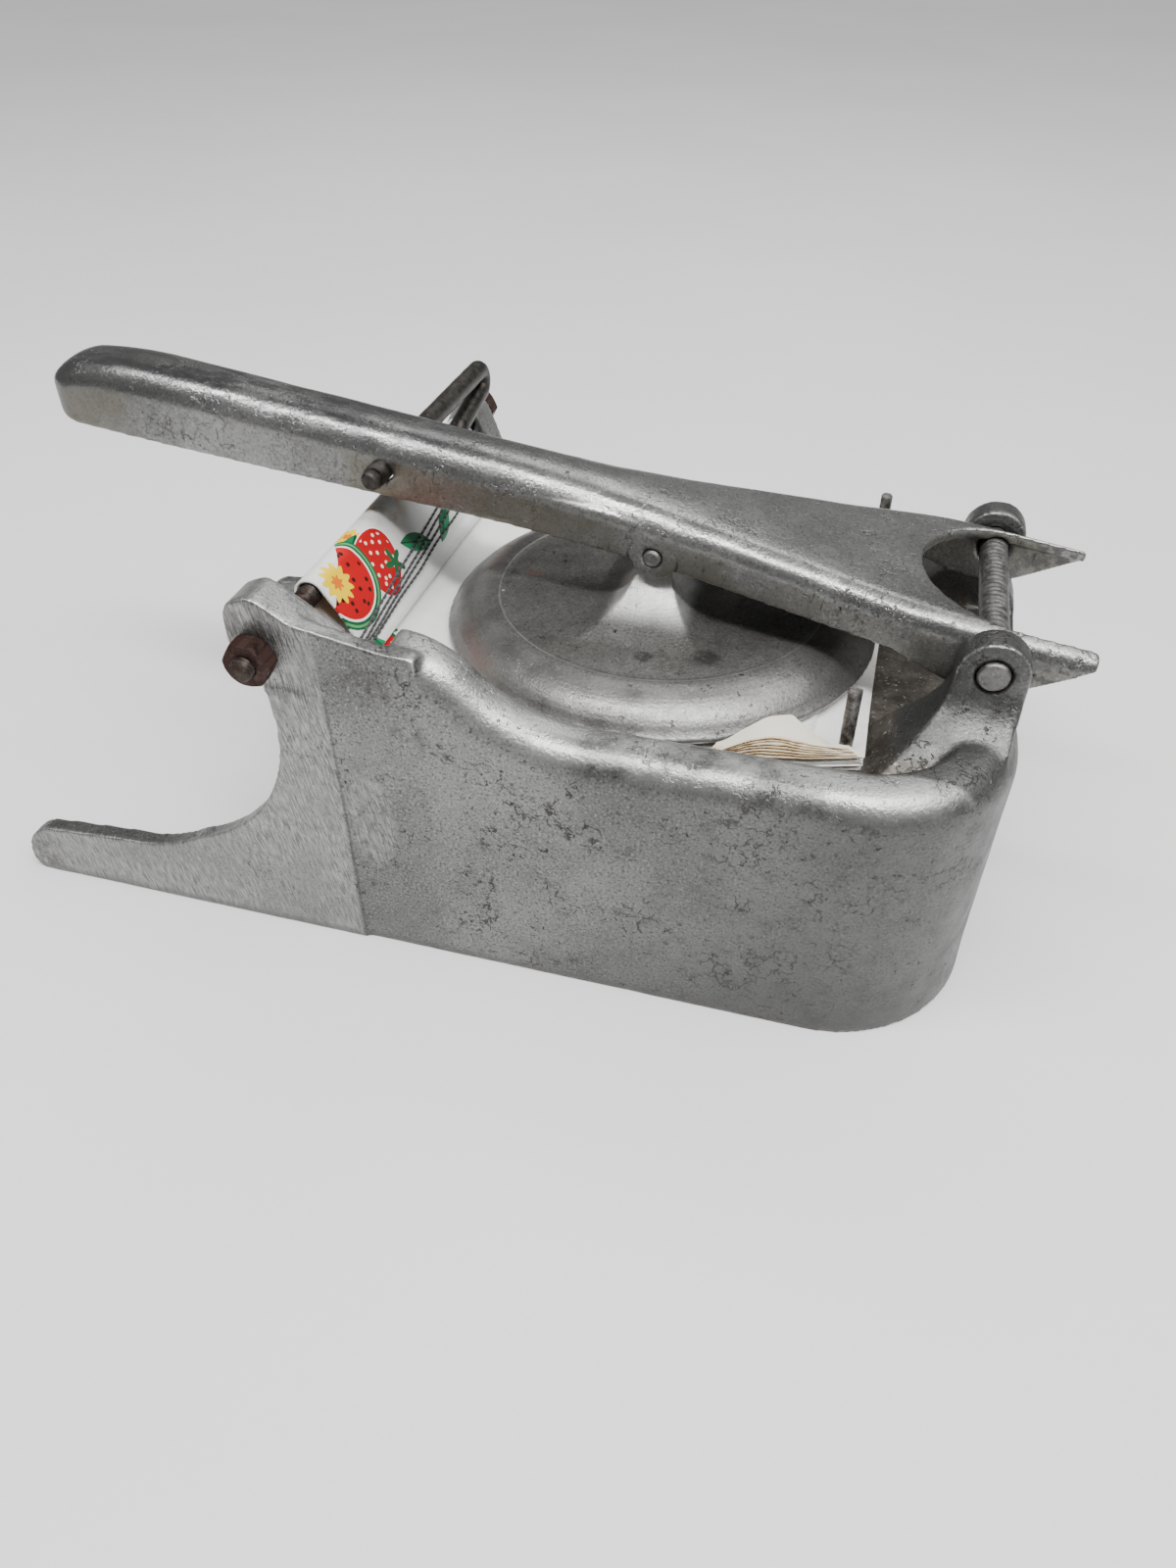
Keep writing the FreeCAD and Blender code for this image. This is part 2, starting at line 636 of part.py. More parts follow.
def small_parts():
    """Pins, the threaded front rod with its two nuts, and the two paper posts."""
    half = size["half_width"]
    keep("pivot_pin", chamfered("pivot_pin", cylinder_y(
        "pivot_pin_blank", size["pivot_x"], size["pivot_height"], size["pin_radius"],
        -size["boss_outer"] - 0.6, size["boss_outer"] + 0.6), 0.5))
    keep("link_pin", chamfered("link_pin", cylinder_y(
        "link_pin_blank", size["press_x"], size["link_height"], size["link_radius"],
        -size["link_pin_half"], size["link_pin_half"]), 0.5))
    keep("cross_rod", cross_rod())
    keep("front_rod", chamfered("front_rod", cylinder_y(
        "front_rod_blank", size["rod_x"], size["rod_height"], size["rod_radius"],
        -size["rod_half"], size["rod_half"]), 0.6))
    keep("near_rod_nut", nut("near_rod_nut", -half - size["nut_height"], -1))
    keep("far_rod_nut", nut("far_rod_nut", half + size["nut_height"], 1))
    for name, turn in (("near_paper_post", -1.0), ("far_paper_post", 1.0)):
        keep(name, chamfered(name, cylinder_z(
            name + "_blank", size["post_x"], size["post_y"] * turn, size["post_radius"],
            size["post_foot"], size["post_top"]), 0.4))


# ---------------------------------------------------------------- papers and vinyl

def paper_parts():
    """The stack of square papers on the posts, and the curled sheets at its near rear corner."""
    half = size["paper_half"]
    sheets = prism_z("paper_sheets", [
        (size["paper_front"], -half), (size["paper_rear"], -half),
        (size["paper_rear"], half), (size["paper_front"], half)],
        size["paper_bottom"], size["paper_top"])
    punches = [cylinder_z("paper_punch_%d" % number, size["post_x"], size["post_y"] * turn,
                          size["post_radius"] + 0.3, 70.0, 90.0)
               for number, turn in enumerate((-1.0, 1.0))]
    keep("paper_stack", cut("paper_stack", sheets, *punches))
    for number, (name, lift) in enumerate((("lower_curled_sheets", 0.5), ("upper_curled_sheets", 1.0))):
        rise = (size["lifted_height"] - size["flap_bottom"]) * lift
        low = size["paper_top"] + 0.3 + number * 1.2
        slab = prism_y(name + "_slab", [
            (size["lifted_front"], low), (size["paper_rear"] + 1.0, low + rise),
            (size["paper_rear"] + 1.0, low + rise + size["lifted_thickness"]),
            (size["lifted_front"], low + size["lifted_thickness"])], -half, -36.0)
        clear = cylinder_z(name + "_clear", size["press_x"], 0.0, size["platen_radius"] + 0.7,
                           70.0, 90.0)
        punch = cylinder_z(name + "_punch", size["post_x"], -size["post_y"],
                           size["post_radius"] + 0.3, 70.0, 90.0)
        keep(name, cut(name, slab, clear, punch))


def vinyl_strip():
    """The vinyl strip: a sleeve sewn round the front rod and a flap that runs under the platen."""
    rod = FreeCAD.Vector(size["rod_x"].value, size["rod_height"].value, 0)
    seam = FreeCAD.Vector(-37.0, 79.0, 0)
    near = size["vinyl_near"]
    far = size["vinyl_far"]
    thickness = size["vinyl_thickness"]
    bottom = size["flap_bottom"]

    def around(radius):
        """Where the sleeve meets the rod's circle, and the point between on its far side."""
        along = seam - rod
        facing = math.atan2(along.y, along.x)
        spread = math.acos(radius / along.Length)
        return [(rod.x + radius * math.cos(facing + turn), rod.y + radius * math.sin(facing + turn),
                 radius) for turn in (spread, math.pi, -spread)]
    inner_radius = size["rod_radius"].value + 0.3
    outer_radius = inner_radius + thickness.value
    top, back, low = around(outer_radius)
    outer = prism_y("vinyl_outer", [
        (size["flap_end"], bottom), (size["flap_end"], bottom + thickness),
        (-28.8, bottom + thickness), (-33.4, 78.0), (-36.2, 80.2), top, back, low[:2],
        (-38.2, 78.0), (-34.2, 76.6), (-29.4, bottom)], near, far)
    top, back, low = around(inner_radius)
    inner = prism_y("vinyl_inner", [(-38.6, 81.2), top, back, low[:2]], near - 1.0, far + 1.0)
    return cut("vinyl_strip", outer, inner)


def hem_thread():
    """Four lines of black thread that fan out across the sleeve."""
    threads = []
    # height up the sleeve at the near end and at the far end of each line
    for number, (near_up, far_up) in enumerate(((0.04, 0.30), (0.10, 0.42), (0.17, 0.54), (0.24, 0.66))):
        ends = []
        for up, across in ((near_up, size["vinyl_near"].value + 1.0), (far_up, 40.0)):
            ends.append(FreeCAD.Vector(-36.2 - 9.9 * up + 0.75, across, 80.2 + 18.6 * up + 0.4))
        line = ends[1] - ends[0]
        thread = document.addObject("Part::Cylinder", "thread_%d" % number)
        bind(thread, "Radius", size["thread_radius"])
        thread.Height = line.Length
        thread.Placement = FreeCAD.Placement(ends[0], FreeCAD.Rotation(ALONG_Z, line))
        threads.append(thread)
    group = document.addObject("Part::Compound", "hem_thread")
    group.Links = threads
    return group


# ---------------------------------------------------------------- the press

keep("base_casting", base_casting())
keep("lever_handle", lever_handle())
keep("press_platen", press_platen())
small_parts()
paper_parts()
keep("vinyl_strip", vinyl_strip())
keep("hem_thread", hem_thread())
document.recompute()

for item in document.Objects:
    if "Invalid" in item.State or "Error" in item.State:
        raise RuntimeError("%s failed: %s" % (item.Label, item.State))
os.makedirs("parts", exist_ok=True)
for node in nodes:
    solid = node.Shape
    if solid.isNull() or not solid.isValid() or not solid.Solids:
        raise RuntimeError("%s has no valid solid" % node.Label)
    solid.exportStep("parts/%s.step" % node.Label)
    box = solid.BoundBox
    print("%-22s solids %d volume %9.1f  x %.1f..%.1f y %.1f..%.1f z %.1f..%.1f" % (
        node.Label, len(solid.Solids), solid.Volume, box.XMin, box.XMax, box.YMin, box.YMax,
        box.ZMin, box.ZMax))
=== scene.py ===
"""Looks of the manual patty press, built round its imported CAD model. Metres throughout."""
import math

import bpy
from mathutils import Euler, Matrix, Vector, noise

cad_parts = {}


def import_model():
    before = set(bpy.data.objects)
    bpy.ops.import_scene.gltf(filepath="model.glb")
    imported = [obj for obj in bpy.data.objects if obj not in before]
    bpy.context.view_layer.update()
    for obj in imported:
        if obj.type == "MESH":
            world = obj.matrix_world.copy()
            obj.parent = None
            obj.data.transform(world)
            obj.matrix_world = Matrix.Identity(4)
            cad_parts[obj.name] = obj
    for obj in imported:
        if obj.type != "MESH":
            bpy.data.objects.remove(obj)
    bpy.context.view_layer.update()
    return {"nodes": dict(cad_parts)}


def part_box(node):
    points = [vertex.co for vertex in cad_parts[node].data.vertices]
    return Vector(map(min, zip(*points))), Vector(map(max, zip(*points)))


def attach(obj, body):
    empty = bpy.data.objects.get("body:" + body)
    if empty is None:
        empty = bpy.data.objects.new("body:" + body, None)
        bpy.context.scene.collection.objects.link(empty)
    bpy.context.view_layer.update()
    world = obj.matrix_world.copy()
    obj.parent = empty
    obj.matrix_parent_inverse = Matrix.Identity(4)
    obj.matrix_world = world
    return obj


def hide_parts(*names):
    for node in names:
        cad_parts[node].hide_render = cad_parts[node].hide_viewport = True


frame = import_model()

MM = 0.001

# places that the CAD model fixes, in metres; a pair is x and z
PIVOT = (0.125, 0.096)
PRESS_X = 0.035             # middle of the platen
LINK_PIN = (PRESS_X, 0.102)
PLATEN_RADIUS = 0.0624
PLATEN_TOP = 0.0845
ROD = (-0.050, 0.097)
ROD_RADIUS = 0.003175
PAD_EDGE = -0.034           # x where the ground pads on the legs' outer faces end
PAD_SIDE = 0.079            # distance of the pads' faces from the middle plane
BOSS_SIDE = 0.0389          # distance of the pivot bosses' outer faces from it
REAR_CORNER = (0.096, 0.0395)   # x and y of the middle of a rear corner's rounding

# the darkest dirt, in linear red, green and blue
PIT_DIRT = (0.028, 0.025, 0.021)
CRACK_DIRT = (0.035, 0.031, 0.027)
JOINT_DIRT = (0.04, 0.036, 0.03)


# ---- node materials

def shade(color, share):
    """A darker or lighter shade of a colour."""
    return tuple(min(1.0, part * share) for part in color)


class Paint:
    """A Principled material and short names for the nodes that feed it."""

    def __init__(self, name, **sockets):
        self.material = bpy.data.materials.new(name)
        self.material.use_nodes = True
        self.tree = self.material.node_tree
        self.shader = self.tree.nodes["Principled BSDF"]
        for key, value in sockets.items():
            self.shader.inputs[key.replace("_", " ")].default_value = value
        self.place = self.add("TexCoord").outputs["Object"]
        self.x, self.y, self.z = self.split(self.place)
        self.side = self.math("ABSOLUTE", self.y)

    def add(self, kind, inputs=None, **settings):
        node = self.tree.nodes.new("ShaderNode" + kind)
        for key, value in settings.items():
            setattr(node, key, value)
        for key, value in (inputs or {}).items():
            self.feed(node.inputs[key], value)
        return node

    def feed(self, socket, value):
        if isinstance(value, bpy.types.NodeSocket):
            self.tree.links.new(value, socket)
        elif value is not None:
            if socket.type == "RGBA" and len(value) == 3:
                value = (*value, 1.0)
            socket.default_value = value

    def finished(self, color, rough, normal=None):
        """The material, with its colour, roughness and bump plugged in."""
        for key, value in (("Base Color", color), ("Roughness", rough), ("Normal", normal)):
            self.feed(self.shader.inputs[key], value)
        return self.material

    def split(self, vector):
        outputs = self.add("SeparateXYZ", {0: vector}).outputs
        return outputs[0], outputs[1], outputs[2]

    def math(self, operation, a, b=None, c=None):
        return self.add("Math", {0: a, 1: b, 2: c}, operation=operation).outputs[0]

    def geometry(self, output):
        return self.add("NewGeometry").outputs[output]

    def noise(self, scale, detail=3.0, rough=0.55, place=None):
        return self.add("TexNoise", {
            "Vector": place or self.place, "Scale": scale, "Detail": detail,
            "Roughness": rough}).outputs[0]

    def streaks(self, scale, turn=(0.0, 0.0, 0.0), detail=3.0, rough=0.7):
        """Noise drawn out along the axes. The place is turned, in degrees, and then scaled."""
        turned = self.add("VectorRotate", {
            "Vector": self.place,
            "Rotation": Euler([math.radians(a) for a in turn])}, rotation_type="EULER_XYZ")
        place = self.add("VectorMath", {0: turned.outputs[0], 1: scale},
                         operation="MULTIPLY").outputs[0]
        return self.noise(1.0, detail, rough, place)

    def cells(self, scale, feature="F1", place=None, random=1.0, dimensions="3D"):
        return self.add("TexVoronoi", {
            "Vector": place or self.place, "Scale": scale, "Randomness": random},
            feature=feature, voronoi_dimensions=dimensions).outputs["Distance"]

    def band(self, value, low, high, out_low=0.0, out_high=1.0):
        """Smoothly 0 below low and 1 above high. It falls instead where low is above high."""
        if low > high:
            low, high, out_low, out_high = high, low, out_high, out_low
        return self.add("MapRange", {
            "Value": value, "From Min": low, "From Max": high, "To Min": out_low,
            "To Max": out_high}, interpolation_type="SMOOTHSTEP").outputs[0]

    def all_of(self, *masks):
        result = masks[0]
        for mask in masks[1:]:
            result = self.math("MULTIPLY", result, mask)
        return result

    def speckle(self, low, high, *noise):
        """A mask from noise, 0 where it is below low and 1 where it is above high."""
        return self.band(self.noise(*noise), low, high)

    def mix(self, mask, first, second):
        node = self.add("Mix", data_type="RGBA")
        for index, value in ((0, mask), (6, first), (7, second)):
            self.feed(node.inputs[index], value)
        return node.outputs[2]

    def stain(self, color, dirt, *masks):
        return self.mix(self.all_of(*masks), color, dirt)

    def blend(self, mask, first, second):
        node = self.add("Mix", data_type="FLOAT")
        for index, value in ((0, mask), (2, first), (3, second)):
            self.feed(node.inputs[index], value)
        return node.outputs[0]

    def near(self, centre, radius, softness=0.6):
        """1 inside a ball round a point of the object, fading to 0 at its radius."""
        reach = self.add("VectorMath", {0: self.place, 1: centre},
                         operation="DISTANCE").outputs["Value"]
        return self.band(reach, radius, radius * softness)

    def round_axis(self, a, b, centre):
        """Distance from an axis that crosses the plane of the coordinates a and b at centre."""
        across = self.math("SUBTRACT", a, centre[0])
        along = self.math("SUBTRACT", b, centre[1])
        return self.math("SQRT", self.math("ADD", self.math("MULTIPLY", across, across),
                                           self.math("MULTIPLY", along, along)))

    def ring(self, distance, radius, half_width):
        off = self.math("ABSOLUTE", self.math("SUBTRACT", distance, radius))
        return self.band(off, half_width, half_width * 0.3)

    def bump(self, height, depth, normal=None, strength=1.0):
        return self.add("Bump", {
            "Height": height, "Distance": depth, "Strength": strength,
            "Normal": normal}).outputs[0]


def cast_skin(paint, light, dark, sand=1.0, crazing=1.0):
    """The mottled, pitted, finely cracked skin of old cast aluminium.

    sand and crazing are how much grain and how many cracks it has, as a share of the usual."""
    clouds = paint.noise(22.0, 4.0)
    blotches = paint.noise(140.0, 5.0, 0.65)
    color = paint.mix(paint.band(clouds, 0.35, 0.65), dark, light)
    color = paint.stain(color, shade(dark, 0.5), paint.band(blotches, 0.56, 0.74), 0.5)
    grain = paint.noise(1350.0, 3.0, 0.7)
    color = paint.stain(color, shade(dark, 0.30), paint.band(grain, 0.53, 0.64), 0.80 * sand)
    color = paint.stain(color, shade(light, 2.0), paint.band(grain, 0.45, 0.34), 0.45 * sand)
    flecks = paint.noise(520.0, 4.0, 0.75)
    pit_places = paint.speckle(0.42, 0.60, 38.0, 4.0, 0.65)
    pit = paint.all_of(paint.band(flecks, 0.612, 0.66), pit_places)
    color = paint.stain(color, PIT_DIRT, pit, 0.92)
    wander = paint.add("TexNoise", {
        "Vector": paint.place, "Scale": 330.0, "Detail": 4.0}).outputs["Color"]
    bent = paint.add("VectorMath", {0: wander, 1: (0.006, 0.006, 0.006), 2: paint.place},
                     operation="MULTIPLY_ADD").outputs[0]
    cracks = paint.cells(210.0, "DISTANCE_TO_EDGE", place=bent)
    crack = paint.all_of(paint.band(cracks, 0.060, 0.020),
                         paint.speckle(0.50, 0.60, 60.0, 4.0),
                         paint.speckle(0.42, 0.52, 420.0, 2.0), crazing)
    color = paint.stain(color, CRACK_DIRT, crack, 0.92)
    rough = paint.band(blotches, 0.3, 0.7, 0.34, 0.50)
    rough = paint.blend(pit, rough, 0.8)
    height = paint.math("SUBTRACT", paint.noise(1100.0, 3.0, 0.6), paint.all_of(pit, 2.0))
    height = paint.math("SUBTRACT", height, paint.all_of(crack, 1.5))
    normal = paint.bump(paint.noise(55.0, 2.0), 0.0006, strength=0.5)
    normal = paint.bump(height, 0.00015 * sand, normal=normal, strength=1.0)
    return color, rough, normal


def worn_edges(paint, color, rough, shine=(0.86, 0.86, 0.85)):
    """Colour and roughness with brighter outer edges, where handling has polished the metal."""
    point = paint.geometry("Pointiness")
    worn = paint.all_of(paint.band(point, 0.525, 0.60), paint.speckle(0.30, 0.55, 180.0))
    return paint.mix(worn, color, shine), paint.blend(worn, rough, 0.24)


def base_paint():
    """The base: a worn shoulder with a painted highlight, painted shade, ground pads on the legs,
    a dirty deck and dark joints.
    """
    paint = Paint("base_cast_aluminium", Metallic=0.82)
    color, rough, normal = cast_skin(paint, (0.235, 0.235, 0.231), (0.150, 0.150, 0.147))
    # painted shade: the skin darkens towards the rear and towards the bottom
    painted_shade_rear_and_low = paint.math("ADD", paint.band(paint.x, -0.01, 0.11, 0.0, 0.68),
                        paint.band(paint.z, 0.040, 0.0, 0.0, 0.22))
    color = paint.mix(painted_shade_rear_and_low, color, (0.070, 0.070, 0.068))
    up = paint.split(paint.geometry("Normal"))[2]
    # the upward-facing shoulder of the rim is lighter and smoother in patches: polish from wear,
    # and a painted highlight
    shoulder = paint.all_of(paint.band(paint.z, 0.073, 0.080),
                            paint.band(paint.side, 0.064, 0.066), paint.band(up, 0.20, 0.65),
                            paint.speckle(0.30, 0.55, 70.0, 4.0))
    color = paint.stain(color, (0.62, 0.62, 0.61), shoulder, 0.45)
    rough = paint.blend(paint.all_of(shoulder, 0.7), rough, 0.30)
    color, rough = worn_edges(paint, color, rough)
    # grinding marks on the outer faces of the legs, and a painted shade line along the pads' edge
    half = 0.5 * MM
    outermost = paint.band(paint.side, PAD_SIDE - half, PAD_SIDE + half)
    pad = paint.all_of(paint.band(paint.x, PAD_EDGE + half, PAD_EDGE - half), outermost)
    marks = paint.streaks((2300.0, 300.0, 210.0), (0.0, 11.0, 0.0))
    hatch = paint.band(marks, 0.38, 0.64)
    ground = paint.mix(hatch, (0.14, 0.14, 0.137), (0.42, 0.42, 0.41))
    bare = paint.speckle(0.30, 0.62, 30.0, 3.0)
    narrow = paint.round_axis(paint.math("MULTIPLY", paint.x, 2.4), paint.z, (-0.0620, 0.048))
    patch = paint.all_of(outermost, paint.band(narrow, 0.020, 0.013))
    color = paint.stain(color, ground, pad, paint.band(bare, 0.0, 1.0, 0.35, 0.90))
    color = paint.stain(color, ground, patch, 0.7)
    rough = paint.blend(pad, rough, 0.36)
    # painted shade: a dark line along the step at the pads' edge
    step = paint.all_of(paint.ring(paint.x, -0.0333, 0.0006), paint.band(paint.side, 0.077, 0.079),
                        paint.band(paint.z, 0.088, 0.086))
    color = paint.stain(color, (0.08, 0.075, 0.07), step, 0.55)
    # grime on the deck and inside the rim. outward is the distance from the block that lies
    # between the middles of the two rear corners
    outward = paint.round_axis(paint.math("MAXIMUM", paint.x, REAR_CORNER[0]),
                               paint.math("MAXIMUM", paint.side, REAR_CORNER[1]), REAR_CORNER)
    inside = paint.all_of(paint.band(outward, 0.0285, 0.0260), paint.band(paint.z, 0.0800, 0.0745),
                          paint.band(paint.z, 0.066, 0.068))
    grime = paint.mix(paint.speckle(0.40, 0.62, 120.0, 5.0, 0.7),
                      (0.085, 0.075, 0.062), (0.19, 0.172, 0.145))
    grime = paint.mix(paint.speckle(0.62, 0.72, 900.0), grime, (0.62, 0.60, 0.55))
    color = paint.stain(color, grime, inside, 0.85)
    rough = paint.blend(inside, rough, 0.55)
    below = paint.band(paint.z, 0.070, 0.064)
    hollow = paint.all_of(below, paint.band(outward, 0.0355, 0.0347))
    color = paint.stain(color, (0.20, 0.20, 0.195), hollow, 0.5)
    # joints round the pins, the smudge below the near boss and stains by the rod
    ring = paint.ring(paint.round_axis(paint.x, paint.z, PIVOT), 0.0045, 0.0006)
    smudges = [((0.1265, -0.040, 0.0850), 0.0055, 0.9), ((-0.022, -0.080, 0.094), 0.010, 0.5),
               ((-0.050, -0.080, 0.105), 0.010, 0.55), ((-0.056, -0.080, 0.092), 0.008, 0.55),
               ((-0.012, -0.080, 0.080), 0.007, 0.45), ((-0.142, -0.079, 0.008), 0.012, 0.5)]
    blots = paint.speckle(0.38, 0.60, 260.0, 4.0, 0.7)
    for centre, radius, amount in smudges:
        color = paint.stain(color, (0.045, 0.040, 0.034), paint.near(centre, radius, 0.3), blots,
                            amount)
    outside = paint.band(paint.side, BOSS_SIDE - 0.4 * MM, BOSS_SIDE + 0.4 * MM)
    color = paint.stain(color, JOINT_DIRT, ring, outside, 0.8)
    # painted shade: darker along the very bottom, where the base meets the table
    foot = paint.all_of(paint.band(paint.z, 0.004, 0.001), 0.6)
    color = paint.mix(foot, color, (0.09, 0.085, 0.08))
    scored = paint.math("MULTIPLY", marks, paint.math("ADD", pad, patch))
    normal = paint.bump(scored, 0.00022, normal=normal, strength=0.8)
    return paint.finished(color, rough, normal)


def lever_paint():
    """The lever: a polished top, darkened by age and a painted reflection, a dark grip end, and a
    dull yellowish flank with painted shade and cracks.
    """
    paint = Paint("lever_cast_aluminium", Metallic=0.85)
    color, rough, normal = cast_skin(paint, (0.30, 0.30, 0.295), (0.185, 0.185, 0.18), 0.6, 0.6)
    up = paint.split(paint.geometry("Normal"))[2]
    # the upper faces towards the grip darken in streaks: tarnish from handling, and a painted dark
    # reflection
    hand = paint.all_of(paint.band(paint.x, 0.02, -0.06), paint.band(up, 0.2, 0.9))
    tarnish = paint.streaks((60.0, 240.0, 240.0), detail=5.0)
    patina_and_painted_reflection = paint.all_of(hand, paint.band(tarnish, 0.40, 0.58), 0.88)
    color = paint.mix(patina_and_painted_reflection, color, (0.085, 0.085, 0.09))
    grip_end = paint.all_of(paint.band(paint.x, -0.100, -0.140), paint.band(up, -0.4, 0.5))
    color = paint.stain(color, (0.12, 0.12, 0.12), grip_end, 0.7)
    # the side faces are dull yellowish and darker: a real tint, and painted shade
    flank = paint.all_of(paint.band(up, 0.35, -0.1), paint.speckle(0.35, 0.6, 45.0, 3.0))
    color = paint.stain(color, (0.145, 0.136, 0.106), flank, 0.80)
    upright = paint.streaks((620.0, 620.0, 90.0), (0.0, -8.0, 0.0), 4.0)
    lines = paint.all_of(paint.band(upright, 0.61, 0.67), paint.band(up, 0.8, 0.2),
                         paint.speckle(0.42, 0.56, 60.0))
    color = paint.stain(color, (0.06, 0.05, 0.04), lines, 0.75)
    color, rough = worn_edges(paint, color, rough)
    rough = paint.math("MULTIPLY", rough, paint.band(up, 0.0, 0.5, 1.0, 0.62))
    boss = paint.ring(paint.round_axis(paint.x, paint.z, LINK_PIN), 0.0071, 0.0006)
    seam = paint.all_of(boss, paint.band(up, 0.8, 0.3), paint.band(paint.z, 0.1050, 0.1010), 0.75)
    color = paint.mix(seam, color, (0.05, 0.045, 0.04))
    tips = paint.all_of(paint.band(paint.x, 0.126, 0.140), paint.band(up, 0.4, 0.0),
                        paint.speckle(0.42, 0.58, 380.0, 3.0))
    color = paint.stain(color, (0.06, 0.06, 0.06), tips, 0.75)
    normal = paint.bump(lines, -0.0001, normal=normal, strength=0.6)
    return paint.finished(color, rough, normal)


def platen_paint():
    """The platen: dull and dark, with a fine turned ring, rust specks, a painted highlight on its
    rolled edge, and a scraped pedestal with painted light.
    """
    paint = Paint("platen_cast_aluminium", Metallic=0.78)
    color, rough, normal = cast_skin(paint, (0.185, 0.182, 0.175), (0.115, 0.112, 0.106), 0.6, 0.0)
    rough = paint.math("ADD", rough, 0.08)
    reach = paint.round_axis(paint.x, paint.y, (PRESS_X, 0.0))
    fine_rings = paint.math("SINE", paint.math("MULTIPLY", reach, 5200.0))
    # the rolled edge is lighter and smoother: polish, and a painted highlight
    edge = paint.band(reach, 0.047, 0.052)
    color = paint.stain(color, (0.42, 0.42, 0.415), edge,
                        paint.speckle(0.25, 0.75, 28.0, 4.0, 0.6), 0.46)
    rough = paint.math("SUBTRACT", rough, paint.all_of(edge, 0.13))
    ring = paint.ring(reach, 0.0470, 0.0004)
    color = paint.stain(color, (0.50, 0.49, 0.46), ring, 0.28)
    rust_spots = [((-0.0035, -0.001, PLATEN_TOP), 0.0030), ((0.012, 0.034, PLATEN_TOP), 0.0020),
                  ((0.082, -0.018, 0.0830), 0.0022), ((-0.010, 0.012, 0.0830), 0.0016)]
    crumbs = paint.speckle(0.50, 0.58, 700.0, 3.0)
    for centre, radius in rust_spots:
        color = paint.stain(color, (0.30, 0.09, 0.025), paint.near(centre, radius, 0.2), crumbs)
    white_spots = [((-0.0185, -0.0150, 0.0830), 0.0010), ((-0.009, -0.013, PLATEN_TOP), 0.0009),
                   ((-0.007, -0.0115, PLATEN_TOP), 0.0007), ((-0.014, 0.024, 0.0830), 0.0007)]
    for centre, radius in white_spots:
        color = paint.mix(paint.near(centre, radius, 0.5), color, (0.85, 0.84, 0.80))
    stains = [((0.054, -0.032, PLATEN_TOP), 0.0046), ((0.038, -0.036, PLATEN_TOP), 0.0032)]
    for centre, radius in stains:
        color = paint.stain(color, (0.03, 0.03, 0.03), paint.near(centre, radius, 0.55),
                            paint.speckle(0.25, 0.5, 500.0), 0.65)
    # the near half of the pedestal is lightened in streaks: scraped metal, and painted light on
    # its near faces
    neck = paint.all_of(paint.band(paint.z, 0.0855, 0.0885), paint.band(paint.y, 0.004, -0.004))
    scrapes = paint.streaks((1500.0, 200.0, 120.0))
    color = paint.stain(color, paint.mix(scrapes, (0.42, 0.42, 0.41), (0.86, 0.86, 0.84)), neck,
                        0.75)
    color, rough = worn_edges(paint, color, rough, (0.66, 0.66, 0.65))
    normal = paint.bump(fine_rings, 0.00003, normal=normal, strength=0.16)
    normal = paint.bump(scrapes, 0.0001, normal=normal, strength=0.2)
    return paint.finished(color, rough, normal)


def steel_paint(name, light, dark, rust, rust_amount, gloss=0.38):
    """Old bare steel: mottled, scratched and rusty in patches."""
    paint = Paint(name, Metallic=0.8)
    mottle = paint.noise(420.0, 5.0, 0.7)
    color = paint.mix(paint.band(mottle, 0.36, 0.62), dark, light)
    start = 0.66 - rust_amount * 0.4
    patches = paint.speckle(start, start + 0.14, 150.0, 4.0, 0.7)
    grains = paint.mix(paint.noise(1500.0, 2.0), shade(rust, 0.35), rust)
    color = paint.mix(patches, color, grains)
    nicks = paint.speckle(0.64, 0.72, 1300.0, 2.0)
    color = paint.stain(color, shade(light, 2.4), nicks, 0.5)
    rough = paint.blend(patches, paint.band(mottle, 0.3, 0.7, gloss - 0.08, gloss + 0.14), 0.82)
    height = paint.math("ADD", paint.noise(900.0, 4.0, 0.7), paint.all_of(patches, mottle))
    point = paint.geometry("Pointiness")
    color = paint.stain(color, shade(light, 2.0), paint.band(point, 0.53, 0.62), 0.5)
    return paint.finished(color, rough, paint.bump(height, 0.0002, strength=0.6))


def paper_paint(name, white, edge_brown):
    """Thin waxed paper. The attribute worn is 1 where an edge has browned."""
    paint = Paint(name, Specular_IOR_Level=0.35)
    worn = paint.add("Attribute", attribute_name="worn").outputs["Fac"]
    patches = paint.noise(70.0, 4.0, 0.6)
    color = paint.mix(paint.band(patches, 0.3, 0.75), white, shade(white, 0.93))
    fibres = paint.streaks((300.0, 2600.0, 900.0), (0, 0, 20), rough=0.6)
    color = paint.stain(color, (0.66, 0.62, 0.54), paint.band(fibres, 0.55, 0.8), 0.25)
    wave = paint.math("ADD", worn, paint.band(paint.noise(240.0, 4.0, 0.7), 0.2, 0.8, -0.28, 0.28))
    color = paint.stain(color, (0.60, 0.47, 0.29), paint.band(wave, 0.15, 0.75), edge_brown)
    color = paint.stain(color, (0.20, 0.115, 0.05), paint.band(wave, 0.86, 1.10), edge_brown)
    return paint.finished(color, paint.band(patches, 0.3, 0.7, 0.50, 0.66),
                          paint.bump(fibres, 0.00008, strength=0.4))


def thread_paint():
    """Black twisted sewing thread."""
    paint = Paint("black_thread", Sheen_Weight=0.3)
    twist = paint.streaks((3000.0, 3000.0, 3000.0), (0, 35, 20), 2.0, 0.5)
    return paint.finished(paint.mix(twist, (0.006, 0.006, 0.007), (0.045, 0.045, 0.05)),
                          paint.band(twist, 0.2, 0.8, 0.55, 0.8),
                          paint.bump(twist, 0.0001, strength=0.6))


